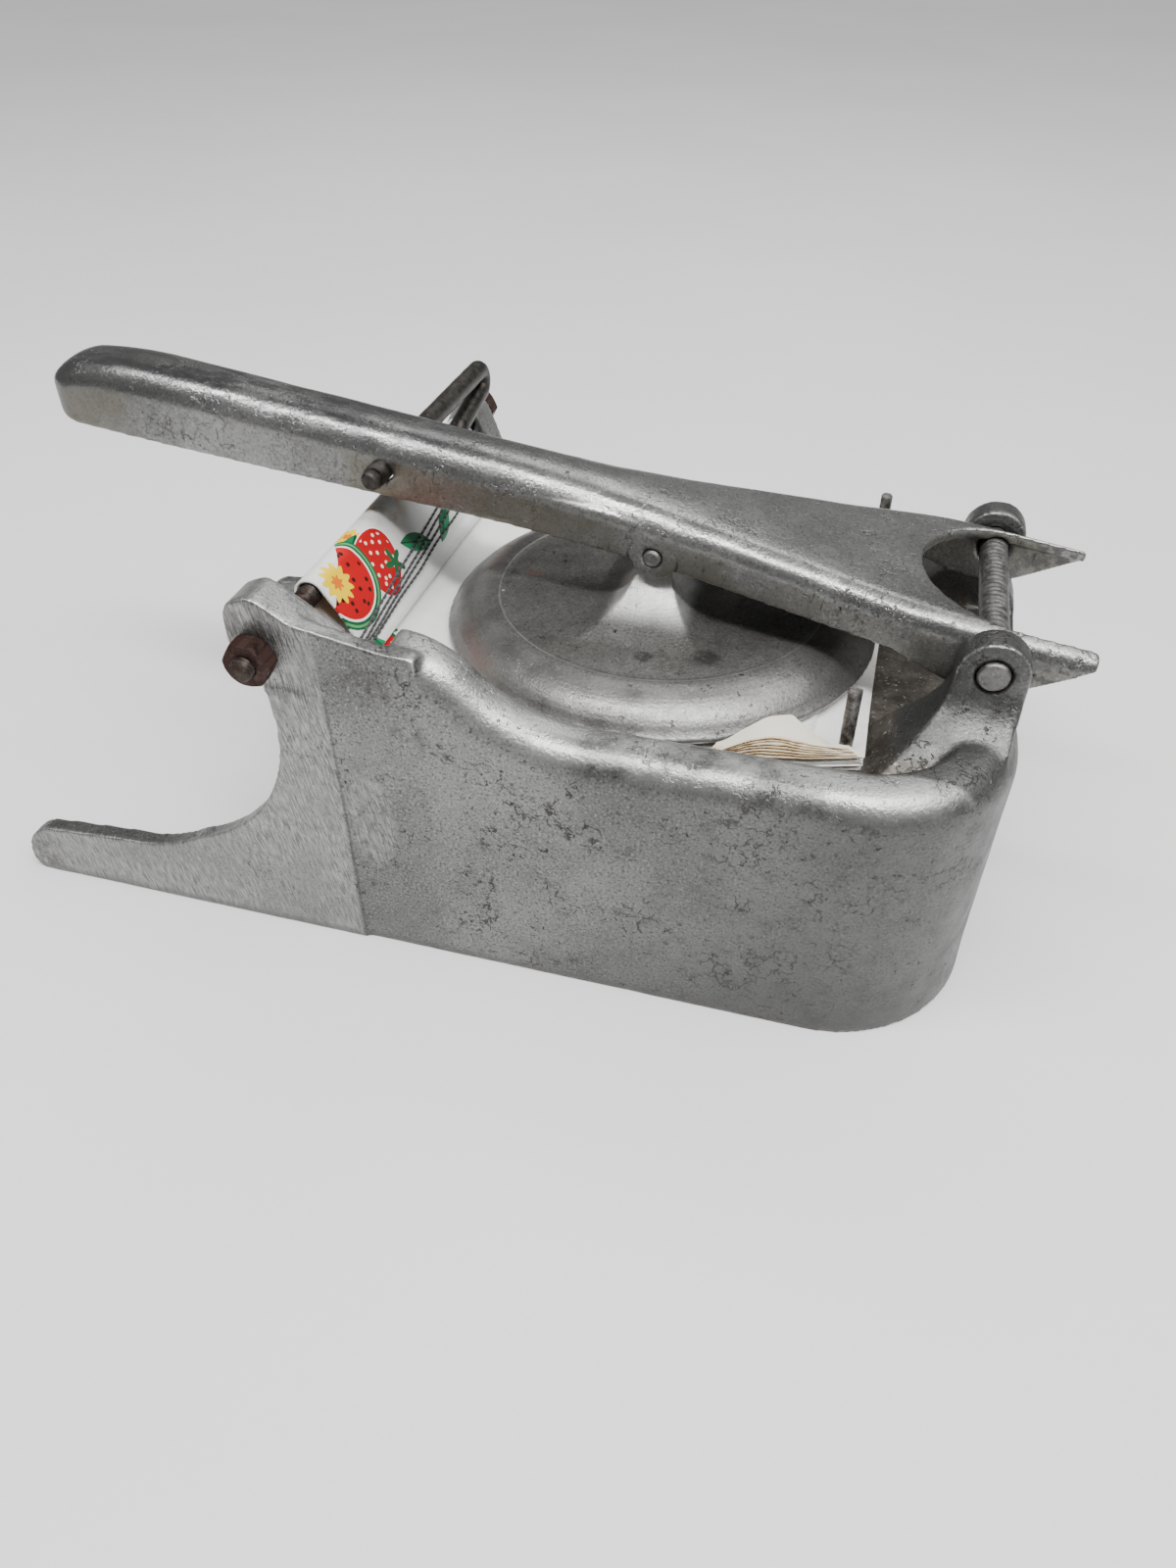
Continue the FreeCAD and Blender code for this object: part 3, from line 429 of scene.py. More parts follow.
def stage_paint():
    """A plain white laminate table top."""
    paint = Paint("pale_table", Specular_IOR_Level=0.4)
    soft = paint.noise(3.0, 3.0)
    color = paint.mix(paint.band(soft, 0.3, 0.7), (0.80, 0.80, 0.80), (0.84, 0.84, 0.845))
    scuffs = paint.streaks((16.0, 260.0, 10.0), (0, 0, 35), 4.0)
    color = paint.stain(color, (0.45, 0.45, 0.45), paint.band(scuffs, 0.66, 0.74), 0.05)
    return paint.finished(color, paint.band(scuffs, 0.3, 0.7, 0.42, 0.52))


# ---- the printed vinyl

def fruit_print(paint, place, ground):
    """Paints a loose all-over pattern of fruit, flowers and leaves. place is (across, along)."""

    def local(centre, angle, size):
        moved = paint.add("VectorMath", {0: place, 1: (centre[0], centre[1], 0.0)},
                          operation="SUBTRACT").outputs[0]
        turned = paint.add("VectorRotate", {
            "Vector": moved, "Angle": math.radians(angle)}, rotation_type="Z_AXIS").outputs[0]
        scaled = paint.add("VectorMath", {0: turned, 1: (1.0 / size, 1.0 / size, 0.0)},
                           operation="MULTIPLY").outputs[0]
        a, b, _ = paint.split(scaled)
        return scaled, a, b

    def below(value, limit):
        return paint.math("LESS_THAN", value, limit)

    def star(a, b, centre, points, inner, outer):
        reach = paint.round_axis(a, b, centre)
        angle = paint.math("ARCTAN2", paint.math("SUBTRACT", b, centre[1]),
                           paint.math("SUBTRACT", a, centre[0]))
        wave = paint.math("COSINE", paint.math("MULTIPLY", angle, float(points)))
        edge = paint.math("MULTIPLY_ADD", wave, (outer - inner) / 2.0, (outer + inner) / 2.0)
        return below(reach, edge)

    def berry(color, centre, angle, size):
        spot, a, b = local(centre, angle, size)
        width = paint.math("MULTIPLY_ADD", b, 0.34, 1.0)
        narrow = paint.math("DIVIDE", a, width)
        reach = paint.math("ADD", paint.math("MULTIPLY", narrow, narrow),
                           paint.math("MULTIPLY", b, b))
        color = paint.mix(below(reach, 1.06), color, (0.86, 0.86, 0.85))
        color = paint.mix(below(reach, 0.98), color, (0.46, 0.005, 0.010))
        seeds = paint.cells(3.0, place=spot, random=0.55, dimensions="2D")
        color = paint.stain(color, (0.95, 0.78, 0.62), below(seeds, 0.19), below(reach, 0.80))
        return paint.mix(star(a, b, (0.0, 0.78), 5, 0.14, 0.50), color, (0.01, 0.11, 0.04))

    def melon(color, centre, angle, size):
        spot, a, b = local(centre, angle, size)
        reach = paint.round_axis(a, b, (0.0, 0.0))
        cut = below(b, 0.18)
        color = paint.stain(color, (0.012, 0.10, 0.04), below(reach, 1.0), cut)
        stripes = paint.all_of(below(reach, 0.95), paint.math("GREATER_THAN", reach, 0.90), cut)
        color = paint.mix(stripes, color, (0.10, 0.36, 0.13))
        color = paint.stain(color, (0.85, 0.86, 0.78), below(reach, 0.84), cut)
        color = paint.stain(color, (0.48, 0.006, 0.010), below(reach, 0.79), cut)
        seeds = paint.cells(3.6, place=spot, random=0.8, dimensions="2D")
        return paint.stain(color, (0.02, 0.012, 0.01), below(seeds, 0.17), below(reach, 0.70), cut)

    def flower(color, centre, angle, size):
        _, a, b = local(centre, angle, size)
        color = paint.mix(star(a, b, (0.0, 0.0), 11, 0.72, 1.0), color, (0.88, 0.60, 0.0))
        return paint.mix(star(a, b, (0.0, 0.0), 7, 0.24, 0.40), color, (0.72, 0.17, 0.01))

    def leaf(color, centre, angle, size):
        _, a, b = local(centre, angle, size)
        width = paint.math("MULTIPLY_ADD", paint.math("MULTIPLY", b, b), -0.36, 0.36)
        across = paint.math("ABSOLUTE", a)
        inside = below(across, width)
        color = paint.mix(inside, color, (0.01, 0.16, 0.06))
        half = paint.math("GREATER_THAN", a, 0.0)
        color = paint.stain(color, (0.015, 0.24, 0.10), inside, half)
        return paint.stain(color, (0.005, 0.05, 0.02), inside, below(across, 0.03))

    drawn = {"berry": berry, "melon": melon, "flower": flower, "leaf": leaf}
    # kind, place across and along the strip in mm, turn in degrees, size in mm
    motifs = [
        ("flower", -25.0, 27.5, 0, 4.6), ("leaf", -31.5, 24.0, 75, 9.0),
        ("berry", -23.0, 17.0, 122, 9.6), ("melon", -40.0, 20.5, -30, 14.0),
        ("flower", -43.0, 21.5, 10, 6.0), ("leaf", -2.0, 12.0, 115, 8.0),
        ("leaf", 19.0, 27.5, 80, 7.0), ("berry", 44.0, 18.0, 200, 7.0),
        ("leaf", 55.0, 24.0, 10, 6.0), ("flower", 33.0, 13.0, 0, 4.2),
        ("leaf", 17.0, 9.0, 60, 7.5), ("leaf", -44.0, -2.0, 15, 6.5),
        ("berry", -12.0, -8.0, 300, 7.0), ("flower", 24.0, -5.0, 0, 4.5),
        ("melon", 48.0, -2.0, 250, 8.0), ("leaf", 8.0, 54.0, 100, 7.0),
        ("berry", -38.0, 56.0, 40, 6.5), ("flower", 52.0, 52.0, 0, 4.5)]
    color = ground
    for kind, across, along, angle, size in motifs:
        color = drawn[kind](color, (across * MM, along * MM), angle, size * MM)
    return color


def vinyl_paint():
    """White printed table vinyl, a little yellowed and creased, with a soft gloss."""
    paint = Paint("printed_vinyl", Specular_IOR_Level=0.25, Coat_Weight=0.06, Coat_Roughness=0.15)
    place = paint.add("Attribute", attribute_name="print_place").outputs["Vector"]
    clouds = paint.noise(35.0, 3.0)
    ground = paint.mix(paint.band(clouds, 0.35, 0.7), (0.80, 0.80, 0.79), (0.70, 0.70, 0.68))
    color = fruit_print(paint, place, ground)
    stain = paint.all_of(paint.near((-0.0515, -0.004, 0.100), 0.013, 0.3),
                         paint.speckle(0.42, 0.6, 160.0, 4.0, 0.6))
    color = paint.stain(color, (0.42, 0.30, 0.12), stain, 0.7)
    creases = paint.streaks((160.0, 60.0, 160.0), rough=0.6)
    return paint.finished(color, paint.band(clouds, 0.3, 0.7, 0.24, 0.34),
                          paint.bump(creases, 0.0006, strength=0.35))


# ---- mesh helpers

def new_object(name, data):
    thing = bpy.data.objects.new(name, data)
    bpy.context.scene.collection.objects.link(thing)
    return thing


def new_piece(name, vertices, faces, material, body, sharp=None):
    """A smooth-shaded mesh object that rides on a CAD body."""
    mesh = bpy.data.meshes.new(name)
    mesh.from_pydata([tuple(v) for v in vertices], [], faces)
    mesh.validate()
    mesh.shade_smooth()
    if sharp is not None:
        mesh.set_sharp_from_angle(angle=math.radians(sharp))
    mesh.materials.append(material)
    piece = new_object(name, mesh)
    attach(piece, body)
    return piece


def new_papers(name, vertices, faces, worn, material, sharp, node):
    """Papers with their attribute worn, in the place of a CAD node."""
    piece = new_piece(name, vertices, faces, material, "base", sharp)
    piece.data.attributes.new("worn", "FLOAT", "POINT").data.foreach_set("value", worn)
    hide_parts(node)


def tube_faces(rings, sides, start=0, flip=False):
    """The faces of a closed tube, whose rings of points follow one another from start."""
    faces = []
    for ring in range(rings - 1):
        for side in range(sides):
            first = start + ring * sides + side
            second = start + ring * sides + (side + 1) % sides
            if flip:
                faces.append((first, first + sides, second + sides, second))
            else:
                faces.append((first, second, second + sides, first + sides))
    last = start + (rings - 1) * sides
    low, high = tuple(range(start, start + sides)), tuple(range(last, last + sides))
    return faces + ([low, high[::-1]] if flip else [low[::-1], high])


def slab_faces(slow, fast, start, flip=False):
    """The faces of a thin slab: a grid of points, and a copy of the grid above it.

    slow and fast are the grid's numbers of steps across and along its rows of points."""
    row = fast + 1
    size = (slow + 1) * row
    faces = []
    for a in range(slow):
        for b in range(fast):
            first = start + a * row + b
            square = (first, first + 1, first + row + 1, first + row)
            if flip:
                square = (first, first + row, first + row + 1, first + 1)
            faces.append(square[::-1])
            faces.append(tuple(corner + size for corner in square))
    border = [start + b for b in range(fast)]
    border += [start + a * row + fast for a in range(slow)]
    border += [start + slow * row + b for b in range(fast, 0, -1)]
    border += [start + a * row for a in range(slow, 0, -1)]
    for corner, after in zip(border, border[1:] + border[:1]):
        side = (corner, after, after + size, corner + size)
        faces.append(side[::-1] if flip else side)
    return faces


def settle(piece):
    """Turns a piece's modifiers into plain mesh."""
    bpy.context.view_layer.update()
    graph = bpy.context.evaluated_depsgraph_get()
    mesh = bpy.data.meshes.new_from_object(piece.evaluated_get(graph))
    piece.modifiers.clear()
    piece.data = mesh


def recast(node, name, body, voxel, passes, material, softer=None, extra=0, shape=None):
    """A copy of a cast part with the soft edges and slightly uneven skin that sand casting leaves.

    softer(place) is how far, from 0 to 1, a point takes part in the extra smoothing.
    shape(place) is how far a point sinks before that."""
    mesh = frame["nodes"][node].data.copy()
    piece = new_object(name, mesh)
    skin = piece.modifiers.new("skin", "REMESH")
    skin.mode = "VOXEL"
    skin.voxel_size = voxel
    skin.use_smooth_shade = True
    soften = piece.modifiers.new("soften", "SMOOTH")
    soften.factor = 0.5
    soften.iterations = passes
    if softer:
        settle(piece)
        if shape:
            for vertex in piece.data.vertices:
                vertex.co.z -= shape(vertex.co)
        group = piece.vertex_groups.new(name="softer")
        for vertex in piece.data.vertices:
            share = softer(vertex.co)
            if share > 0.0:
                group.add([vertex.index], min(1.0, share), "REPLACE")
        more = piece.modifiers.new("more", "SMOOTH")
        more.factor = 0.5
        more.iterations = extra
        more.vertex_group = "softer"
    waves = bpy.data.textures.new(name + "_waves", "CLOUDS")
    waves.noise_scale = 0.022
    uneven = piece.modifiers.new("uneven", "DISPLACE")
    uneven.texture = waves
    uneven.texture_coords = "LOCAL"
    uneven.strength = 0.0004
    uneven.mid_level = 0.85
    settle(piece)
    piece.data.materials.clear()
    piece.data.materials.append(material)
    piece.data.shade_smooth()
    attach(piece, body)
    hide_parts(node)


def turned_bar(name, axis, centre, stations, radius_at, sides, material, body, node):
    """A round bar along Y or Z. radius_at(station, angle) is its radius there."""
    vertices = []
    for station in stations:
        for step in range(sides):
            angle = math.tau * step / sides
            radius = radius_at(station, angle)
            a, b = radius * math.cos(angle), radius * math.sin(angle)
            if axis == "Y":
                vertices.append((centre[0] + a, station, centre[1] - b))
            else:
                vertices.append((centre[0] + a, centre[1] + b, station))
    faces = tube_faces(len(stations), sides)
    piece = new_piece(name, vertices, faces, material, body, sharp=40)
    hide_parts(node)


def spaced(low, high, step):
    count = max(1, round((high - low) / step))
    return [low + (high - low) * index / count for index in range(count + 1)]


def thread_depth(station, angle, pitch):
    """0 at a thread's crest and 1 at its root."""
    turn = (station / pitch + angle / math.tau) % 1.0
    return min(1.0, abs(turn - 0.5) * 2.3)


# ---- castings

def ramp(value, low, high):
    """0 below low and 1 above high, straight between them."""
    return max(0.0, min(1.0, (value - low) / (high - low)))


def rear_walls(place):
    """The outer wall round the rear corners, and a little of the rim."""
    corner_x, corner_y = REAR_CORNER
    outer = 38.0 * MM
    flat = max(abs(place.y) - corner_y, place.x - corner_x) > outer
    round_corner = place.x > corner_x and math.hypot(place.x - corner_x,
                                                     abs(place.y) - corner_y) > outer
    outside = 1.0 if flat or round_corner else 0.0
    walls = outside * ramp(place.x, 0.070, 0.085) * ramp(place.z, 0.003, 0.012) \
        * ramp(-place.z, -0.068, -0.060)
    rim = 0.035 * ramp(place.x, -0.030, -0.010) * ramp(place.z, 0.060, 0.072)
    return max(walls, rim)


def grip_nose(place):
    """The rounded end of the grip."""
    return ramp(-place.x, 0.124, 0.140)


def lever_crown(place):
    """How far the lever's top falls away from its middle line towards its two shoulders."""
    # the top face, the lower edge and half the width of the lever at this x
    top = 0.1038 + (0.115 - place.x) * 0.1426
    bottom = 0.0924 + (0.101 - place.x) * 0.1065
    half = min(0.0306, max(0.0116, 0.0286 - (0.100 - place.x) * 0.21))
    height = ramp((place.z - bottom) / (top - bottom), 0.30, 0.95)
    depth = 0.0034 - 0.0022 * ramp(place.x, 0.0, 0.075) - 0.0012 * ramp(place.x, 0.085, 0.110)
    return depth * min(1.0, abs(place.y) / half) ** 2.2 * height


recast("base_casting", "cast_base", "base", 0.0009, 3, base_paint(), rear_walls, 150)
recast("lever_handle", "cast_lever", "lever", 0.0006, 10, lever_paint(), grip_nose, 48,
       lever_crown)
recast("press_platen", "cast_platen", "platen", 0.0008, 3, platen_paint())


# ---- rods, pins, nuts and posts

# light, dark and rust colours, and how much of the steel is rusty
STEEL = steel_paint("old_steel", (0.20, 0.195, 0.19), (0.10, 0.097, 0.093),
                    (0.12, 0.065, 0.03), 0.08)
STOP_STEEL = steel_paint("dark_stop_rod", (0.070, 0.064, 0.058), (0.028, 0.025, 0.022),
                         (0.075, 0.040, 0.022), 0.12)
BLACK_STEEL = steel_paint("black_threaded_steel", (0.055, 0.044, 0.038), (0.022, 0.017, 0.015),
                          (0.052, 0.026, 0.016), 0.50, 0.45)
RUST = steel_paint("rusty_nut", (0.046, 0.028, 0.025), (0.020, 0.012, 0.011),
                   (0.048, 0.019, 0.013), 0.7)
POST_STEEL = steel_paint("post_steel", (0.26, 0.25, 0.24), (0.06, 0.055, 0.05),
                         (0.14, 0.08, 0.04), 0.2)


def threaded_rod():
    """The front rod, with its thread cut along its whole length."""
    low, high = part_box("front_rod")
    pitch = 1.27 * MM
    bevel = 0.6 * MM

    def radius_at(station, angle):
        radius = ROD_RADIUS - 0.62 * MM * thread_depth(station, angle, pitch)
        end = min(station - low.y, high.y - station)
        return min(radius, ROD_RADIUS - max(0.0, bevel - end))
    turned_bar("threaded_front_rod", "Y", ROD, spaced(low.y, high.y, pitch / 5), radius_at, 22,
               BLACK_STEEL, "base", "front_rod")


def lever_pin():
    """The lever's pivot pin: smooth in the bosses, and rough with wear between the tines."""
    low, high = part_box("pivot_pin")
    full = (high.x - low.x) / 2.0
    pitch = 2.1 * MM
    bare = 27.0 * MM

    def radius_at(station, angle):
        radius = full
        if abs(station) < bare:
            spot = Vector((station * 420.0, math.cos(angle) * 1.6, math.sin(angle) * 1.6))
            radius -= 0.30 * MM * thread_depth(station, angle, pitch)
            radius -= 0.16 * MM * (0.5 + 0.5 * noise.noise(spot))
        end = min(station - low.y, high.y - station)
        return min(radius, full - max(0.0, 0.5 * MM - end))
    turned_bar("worn_pivot_pin", "Y", PIVOT, spaced(low.y, high.y, 0.42 * MM), radius_at, 36,
               STEEL, "base", "pivot_pin")


def paper_post(node, name, seed):
    """A paper post: a plain pin, a little dented, with the edge of its top bevelled."""
    low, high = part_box(node)
    centre = ((low.x + high.x) / 2.0, (low.y + high.y) / 2.0)
    full = (high.x - low.x) / 2.0

    def radius_at(station, angle):
        spot = Vector((station * 330.0 + seed, math.cos(angle) * 1.4, math.sin(angle) * 1.4))
        dent = 0.14 * MM * max(0.0, noise.noise(spot))
        return min(full - dent, full - max(0.0, 0.35 * MM - (high.z - station)))
    turned_bar(name, "Z", centre, spaced(low.z, high.z, 0.5 * MM), radius_at, 28, POST_STEEL,
               "base", node)


def stop_rod():
    """The stop rod, with a stepped near end and a far end that is bent back and down to a V."""
    low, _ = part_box("cross_rod")
    middle, height, full = -44.0 * MM, 115.6 * MM, 3.2 * MM
    far, bend, tail = 67.5 * MM, 3.6 * MM, 23.0 * MM
    turn = math.radians(168.0)
    stepped = full - 0.5 * MM
    bend_steps = 14
    # y, z, turn and radius of each ring of the rod
    line = [(low.y, height, 0.0, full - 1.1 * MM), (low.y + 0.6 * MM, height, 0.0, stepped),
            (low.y + 2.9 * MM, height, 0.0, stepped)]
    line += [(y, height, 0.0, full) for y in spaced(low.y + 3.0 * MM, far, 1.5 * MM)]
    for step in range(1, bend_steps + 1):
        angle = turn * step / bend_steps
        line.append((far + bend * math.sin(angle), height - bend * (1.0 - math.cos(angle)),
                     angle, full))
    start_y, start_z = line[-1][:2]
    for along in spaced(0.0, tail, 1.5 * MM)[1:]:
        line.append((start_y + along * math.cos(turn), start_z - along * math.sin(turn), turn,
                     min(full, full - 0.7 * MM + (tail - along))))
    sides = 24
    vertices = []
    for y, z, angle, radius in line:
        for side in range(sides):
            around = math.tau * side / sides
            spot = Vector((y * 260.0, z * 260.0, around))
            reach = radius - 0.07 * MM * (1.0 + noise.noise(spot))
            up = reach * math.cos(around)
            vertices.append((middle + reach * math.sin(around), y + up * math.sin(angle),
                             z + up * math.cos(angle)))
    faces = tube_faces(len(line), sides, flip=True)
    piece = new_piece("bent_stop_rod", vertices, faces, STOP_STEEL, "lever", sharp=40)
    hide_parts("cross_rod")


threaded_rod()
lever_pin()
stop_rod()
paper_post("near_paper_post", "dented_near_post", 3.0)
paper_post("far_paper_post", "dented_far_post", 8.0)
for name, material in (("link_pin", STEEL), ("near_rod_nut", RUST),
                       ("far_rod_nut", RUST)):
    part = frame["nodes"][name]
    part.data.materials.clear()
    part.data.materials.append(material)


# ---- papers

CURL_PULL = 0.62    # how far a curled edge draws back, as a share of its lift


def corner_lift(x, y):
    """How far the papers' near rear corner has curled up off the deck, clear of the platen."""
    reach = ramp(math.hypot(x - PRESS_X, y), 0.0640, 0.0885) ** 1.2
    return 6.5 * MM * reach * ramp(x, 0.045, 0.065) * ramp(-y, 0.010, 0.045)


def paper_stack():
    """A stack of loose square papers, each a little turned, that lie on the deck."""
    low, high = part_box("paper_stack")
    centre = (low + high) / 2.0
    half = (high - low) / 2.0
    count = 11
    gap = (high.z - low.z) / count
    margin = 0.9 * MM
    steps = 26
    vertices, faces, worn = [], [], []
    for sheet in range(count):
        turn = math.radians(0.75 * noise.noise(Vector((sheet * 1.7, 0.3, 0.9))))
        shift = Vector((noise.noise(Vector((sheet * 2.3, 4.1, 0.2))),
                        noise.noise(Vector((sheet * 1.9, 7.7, 0.5))), 0.0)) * 0.5 * MM
        level = low.z + gap * sheet
        start = len(vertices)
        for layer in (0.0, 0.72 * gap):
            for row in range(steps + 1):
                for column in range(steps + 1):
                    a = (column / steps * 2.0 - 1.0) * (half.x - margin)
                    b = (row / steps * 2.0 - 1.0) * (half.y - margin)
                    x = centre.x + a * math.cos(turn) - b * math.sin(turn) + shift.x
                    y = centre.y + a * math.sin(turn) + b * math.cos(turn) + shift.y
                    ripple = noise.noise(Vector((x * 55.0, y * 55.0, 1.0))) * 0.02 * MM
                    lift = corner_lift(x, y) * (0.70 + 0.30 * sheet / count)
                    vertices.append((x, y + CURL_PULL * lift, level + layer + ripple + lift))
                    rim = max(abs(column / steps - 0.5), abs(row / steps - 0.5))
                    worn.append(0.35 if rim > 0.499 else 0.0)
        faces += slab_faces(steps, steps, start)
    new_papers("loose_paper_stack", vertices, faces, worn,
               paper_paint("white_paper", (0.83, 0.83, 0.82), 0.5), 30, "paper_stack")


def curled_papers(name, node, sheets, material):
    """Old sheets that curl up between the near rim and the platen, fanned like pages."""
    inner_reach = PLATEN_RADIUS + 0.9 * MM
    left, right, near = 60.5 * MM, 97.5 * MM, -61.4 * MM
    steps_x, steps_y = 64, 16
    thickness = 0.16 * MM
    vertices, faces, worn = [], [], []
    for low_edge, height, pull in sheets:
        start = len(vertices)
        for layer in (0.0, thickness):
            for column in range(steps_x + 1):
                share_x = column / steps_x
                x = left + pull * 0.3 * MM + (right - left - pull * 0.9 * MM) * share_x
                inner = -math.sqrt(max(inner_reach ** 2 - (x - PRESS_X) ** 2, 0.0))
                # past the platen the inner edge runs out to the near post
                inner = min(inner, (-45.5 - 10.2 * ramp(x, 0.0800, 0.0895)) * MM)
                ragged = noise.noise(Vector((x * 300.0, low_edge * 3.1, 0.4)))
                outer = near + pull * MM + max(0.0, ragged) * 0.8 * MM
                outer -= pull * MM * (1.1 * (1.0 - share_x) ** 3 + 0.65 * ramp(x, 0.080, 0.091))
                outer = max(outer, near)
                outer += CURL_PULL * corner_lift(x, outer)
                inner = max(inner + min(0.0, ragged) * 0.5 * MM, outer + 0.3 * MM)
                peak = math.exp(-((x - 0.0735) / 0.0088) ** 2)
                tail = 0.38 * math.exp(-((x - 0.0885) / 0.009) ** 2)
                for row in range(steps_y + 1):
                    share = row / steps_y
                    y = outer + (inner - outer) * share
                    lift = 0.60 + 0.40 * share ** 1.15
                    rise = height * MM * (peak + tail) * lift
                    crimp = noise.noise(Vector((x * 120.0, y * 160.0, low_edge * 0.7))) * 0.22 * MM
                    low = low_edge * MM + corner_lift(x, y)
                    vertices.append((x, y, low + rise + crimp * (peak + tail) + layer))
                    rim = min(share * 6.0, (1.0 - share) * 12.0, share_x * 8.0)
                    worn.append(max(0.0, 1.0 - rim) * (1.0 if share < 0.5 else 0.5))
        faces += slab_faces(steps_x, steps_y, start, flip=True)
    new_papers(name, vertices, faces, worn, material, 50, node)


CREAM = paper_paint("cream_paper", (0.76, 0.71, 0.60), 0.9)
paper_stack()
# each sheet: height of its near edge, rise of its crest and how far its near edge is pulled in
curled_papers("curled_lower_papers", "lower_curled_sheets",
              [(73.45, 1.9, 0.0), (73.70, 2.7, 1.0), (73.95, 3.4, 1.7), (74.20, 4.2, 2.6)], CREAM)
curled_papers("curled_upper_papers", "upper_curled_sheets",
              [(74.45, 4.9, 3.3), (74.70, 5.5, 4.2), (74.95, 6.1, 5.0)], CREAM)


# ---- vinyl strip

VINYL_NEAR, VINYL_FAR = -0.050, 0.062
VINYL_THICKNESS = 0.8 * MM
HEM = (-0.0368, 0.0808)
SLEEVE_STEPS, ROUND_STEPS = 12, 24
# which point of the strip's path starts its way back to the hem, and which its flap on the deck
WAY_BACK = SLEEVE_STEPS + 1 + ROUND_STEPS
FLAP = WAY_BACK + SLEEVE_STEPS + 3


def strip_path():
    """The strip's side view, from its hem over the rod, back to the hem, and along the deck."""
    radius = ROD_RADIUS + 0.75 * MM
    centre = Vector(ROD)
    seam = Vector(HEM)
    away = seam - centre
    facing = math.atan2(away.y, away.x)
    spread = math.acos(radius / away.length)
    points = [Vector((-0.0342, 0.0796))]
    across = Vector((math.cos(facing + spread), math.sin(facing + spread)))
    top = centre + across * radius
    for step in range(SLEEVE_STEPS + 1):
        share = step / SLEEVE_STEPS
        bulge = math.sin(math.pi * share) * 0.0009
        points.append(seam.lerp(top, share) + across * bulge)
    turn = math.tau - 2.0 * spread
    for step in range(1, ROUND_STEPS):
        angle = facing + spread + turn * step / ROUND_STEPS
        points.append(centre + Vector((math.cos(angle), math.sin(angle))) * radius)
    low = centre + Vector((math.cos(facing - spread), math.sin(facing - spread))) * radius
    lower_seam = Vector((-0.0379, 0.0790))
    points += [low.lerp(lower_seam, step / SLEEVE_STEPS) for step in range(SLEEVE_STEPS + 1)]
    points += [Vector((-0.0360, 0.0782)), Vector((-0.0341, 0.0771)), Vector((-0.0326, 0.0758)),
               Vector((-0.0311, 0.0747)), Vector((-0.0285, 0.0740))]
    flap = [-0.0250 + 0.0038 * step for step in range(30)]
    return points + [Vector((x, 0.0739)) for x in flap]


PATH = strip_path()
LENGTHS = [0.0]
for before, after in zip(PATH, PATH[1:]):
    LENGTHS.append(LENGTHS[-1] + (after - before).length)


def strip_point(across, along):
    """A point on the strip, and the direction straight out of its face there."""
    index = max(i for i in range(len(LENGTHS) - 1) if LENGTHS[i] <= max(along, 0.0))
    span = LENGTHS[index + 1] - LENGTHS[index]
    spot = PATH[index].lerp(PATH[index + 1], (along - LENGTHS[index]) / span)
    heading = (PATH[index + 1] - PATH[index]).normalized()
    out = Vector((-heading.y, 0.0, heading.x))
    return Vector((spot.x, across, spot.y)), -out if along < LENGTHS[WAY_BACK] else out


def vinyl_strip():
    """The strip: one sheet sewn into a sleeve round the rod, and its flap on the papers."""
    rows = 64
    vertices, faces, place = [], [], []
    for point, along in zip(PATH, LENGTHS):
        for row in range(rows + 1):
            y = VINYL_NEAR + (VINYL_FAR - VINYL_NEAR) * row / rows
            x, z = point.x, point.y
            reach = Vector((x - PRESS_X, y)).length - PLATEN_RADIUS
            loose = max(0.0, min(1.0, (reach - MM) / (12.0 * MM)))
            curl = max(0.0, (y - 0.050) / (VINYL_FAR - 0.050)) ** 1.6
            flat = 1.0 if along > LENGTHS[FLAP] else 0.0
            buckle = 1.0 + noise.noise(Vector((x * 60, y * 60, 2)))
            z += loose * flat * (4.5 * MM * curl + 0.3 * MM * buckle)
            ripple = noise.noise(Vector((along * 90.0, y * 45.0, 0.0))) * 0.00022
            x += ripple * (1.0 - flat)
            vertices.append((x, y, z))
            place += [y, along, 0.0]
    for column in range(len(PATH) - 1):
        for row in range(rows):
            first = column * (rows + 1) + row
            faces.append((first, first + 1, first + rows + 2, first + rows + 1))
    piece = new_piece("printed_vinyl_strip", vertices, faces, vinyl_paint(), "base")
    on_print = piece.data.attributes.new("print_place", "FLOAT_VECTOR", "POINT")
    on_print.data.foreach_set("vector", place)
    thick = piece.modifiers.new("thickness", "SOLIDIFY")
    thick.thickness = VINYL_THICKNESS
    thick.offset = 0.0
    settle(piece)
    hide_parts("vinyl_strip")


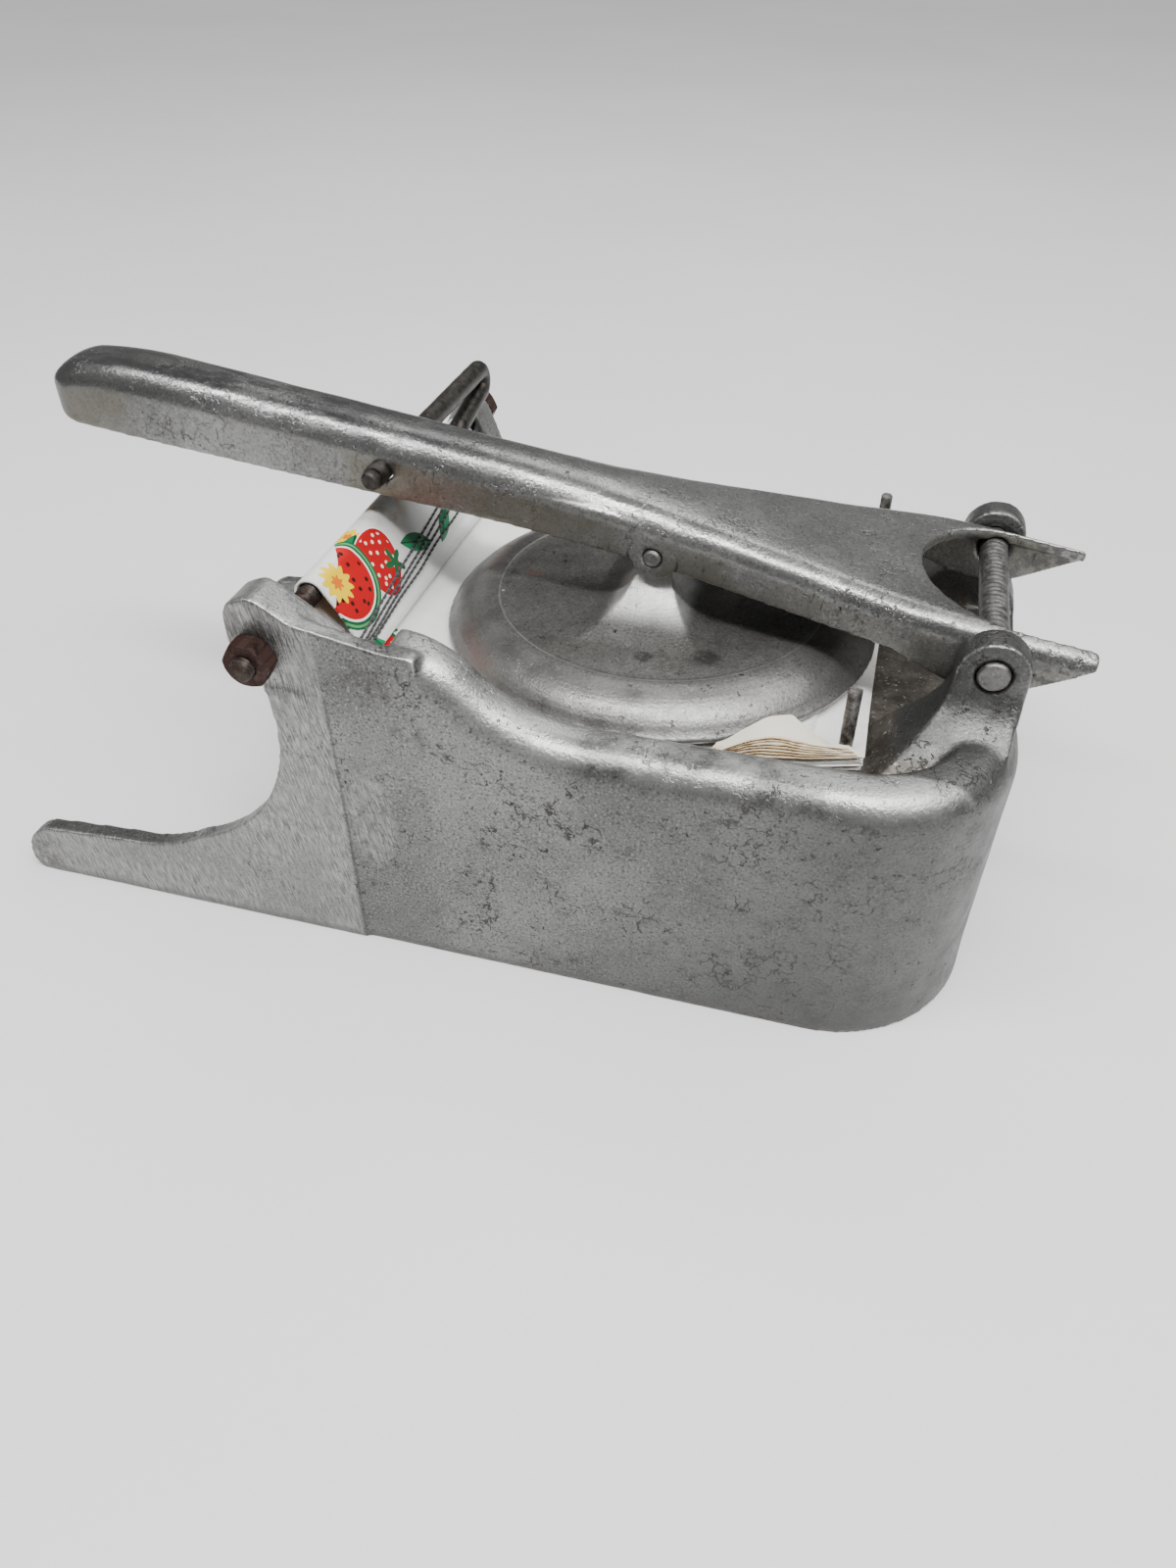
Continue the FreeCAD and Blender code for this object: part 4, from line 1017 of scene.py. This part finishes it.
def stitches():
    """Four lines of hand-guided machine stitches that fan out from the near end of the hem."""
    stitch, gap, radius, sides = 2.5 * MM, 0.05 * MM, 0.40 * MM, 7
    # distance up from the hem at the near end and at the far end of each line
    lines = [(3.0, 8.6), (3.9, 11.6), (5.0, 14.2), (6.6, 16.8)]
    last_y = 0.040
    # share of the stitch's length, height above the vinyl and width of each of its rings
    rings = ((0.0, -0.2, 0.5), (0.12, 0.55, 1.0), (0.5, 0.85, 1.0), (0.88, 0.55, 1.0),
             (1.0, -0.2, 0.5))
    vertices, faces = [], []
    for number, (near_up, far_up) in enumerate(lines):
        y = VINYL_NEAR + 1.2 * MM
        while y + stitch < last_y:
            ends = []
            for spot in (y, y + stitch):
                share = (spot - VINYL_NEAR) / (last_y - VINYL_NEAR)
                up = (near_up + (far_up - near_up) * share) * MM
                up += noise.noise(Vector((spot * 60.0, number * 2.2, 0.1))) * 0.5 * MM
                point, out = strip_point(spot, up)
                ends.append((point, out))
            (start, out), (finish, _) = ends
            along = (finish - start).normalized()
            aside = along.cross(out).normalized()
            first = len(vertices)
            for share, lift, width in rings:
                middle = start.lerp(finish, share) + out * (VINYL_THICKNESS / 2.0 + radius * lift)
                for side in range(sides):
                    angle = math.tau * side / sides
                    vertices.append(middle + (aside * math.cos(angle) + out * math.sin(angle))
                                    * radius * width)
            faces += tube_faces(len(rings), sides, first)
            y += stitch + gap
    piece = new_piece("hem_stitches", vertices, faces, thread_paint(), "base")
    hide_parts("hem_thread")


vinyl_strip()
stitches()


# ---- stage, light and camera

def stage():
    """The table top, which is the floor of the scene."""
    reach = 3.0
    mesh = bpy.data.meshes.new("table_top")
    mesh.from_pydata([(-reach, -reach, 0), (reach, -reach, 0), (reach, reach, 0),
                      (-reach, reach, 0)], [], [(0, 1, 2, 3)])
    mesh.materials.append(stage_paint())
    table = new_object("table_top", mesh)


def area_light(name, place, target, width, depth, energy):
    light = bpy.data.lights.new(name, "AREA")
    light.shape = "RECTANGLE"
    light.size = width
    light.size_y = depth
    light.energy = energy
    lamp = new_object(name, light)
    lamp.location = place
    lamp.rotation_euler = (Vector(target) - Vector(place)).to_track_quat("-Z", "Y").to_euler()


def daylight():
    """Even light from high on the right, soft enough to leave only faint shadows."""
    light = bpy.data.lights.new("daylight", "SUN")
    light.energy = 2.0
    light.angle = math.radians(50)
    lamp = new_object("daylight", light)
    lamp.rotation_euler = Vector((0.50, -0.12, 1.0)).to_track_quat("Z", "Y").to_euler()


def world():
    """An even grey room."""
    room = bpy.data.worlds.new("soft_room")
    bpy.context.scene.world = room
    room.use_nodes = True
    back = room.node_tree.nodes["Background"]
    back.inputs["Color"].default_value = (0.60, 0.60, 0.59, 1.0)
    back.inputs["Strength"].default_value = 0.38


def camera():
    """The camera at the height and slope that the reference view has."""
    lens = bpy.data.cameras.new("front_camera")
    lens.lens = 25.65
    lens.sensor_width = 36.0
    view = new_object("front_camera", lens)
    view.location = (0.090, -0.27925, 0.250)
    view.rotation_euler = (math.radians(49.75), 0.0, math.radians(15.46))
    bpy.context.scene.camera = view


stage()
world()
daylight()
area_light("ceiling_panel", (0.25, 0.75, 1.20), (0.0, 0.0, 0.05), 1.5, 0.30, 6.0)
area_light("second_panel", (0.75, -0.25, 1.25), (0.03, 0.0, 0.05), 0.25, 1.3, 5.0)
area_light("near_panel", (-0.05, -0.40, 1.15), (0.0, 0.0, 0.08), 1.3, 0.14, 17.0)
camera()
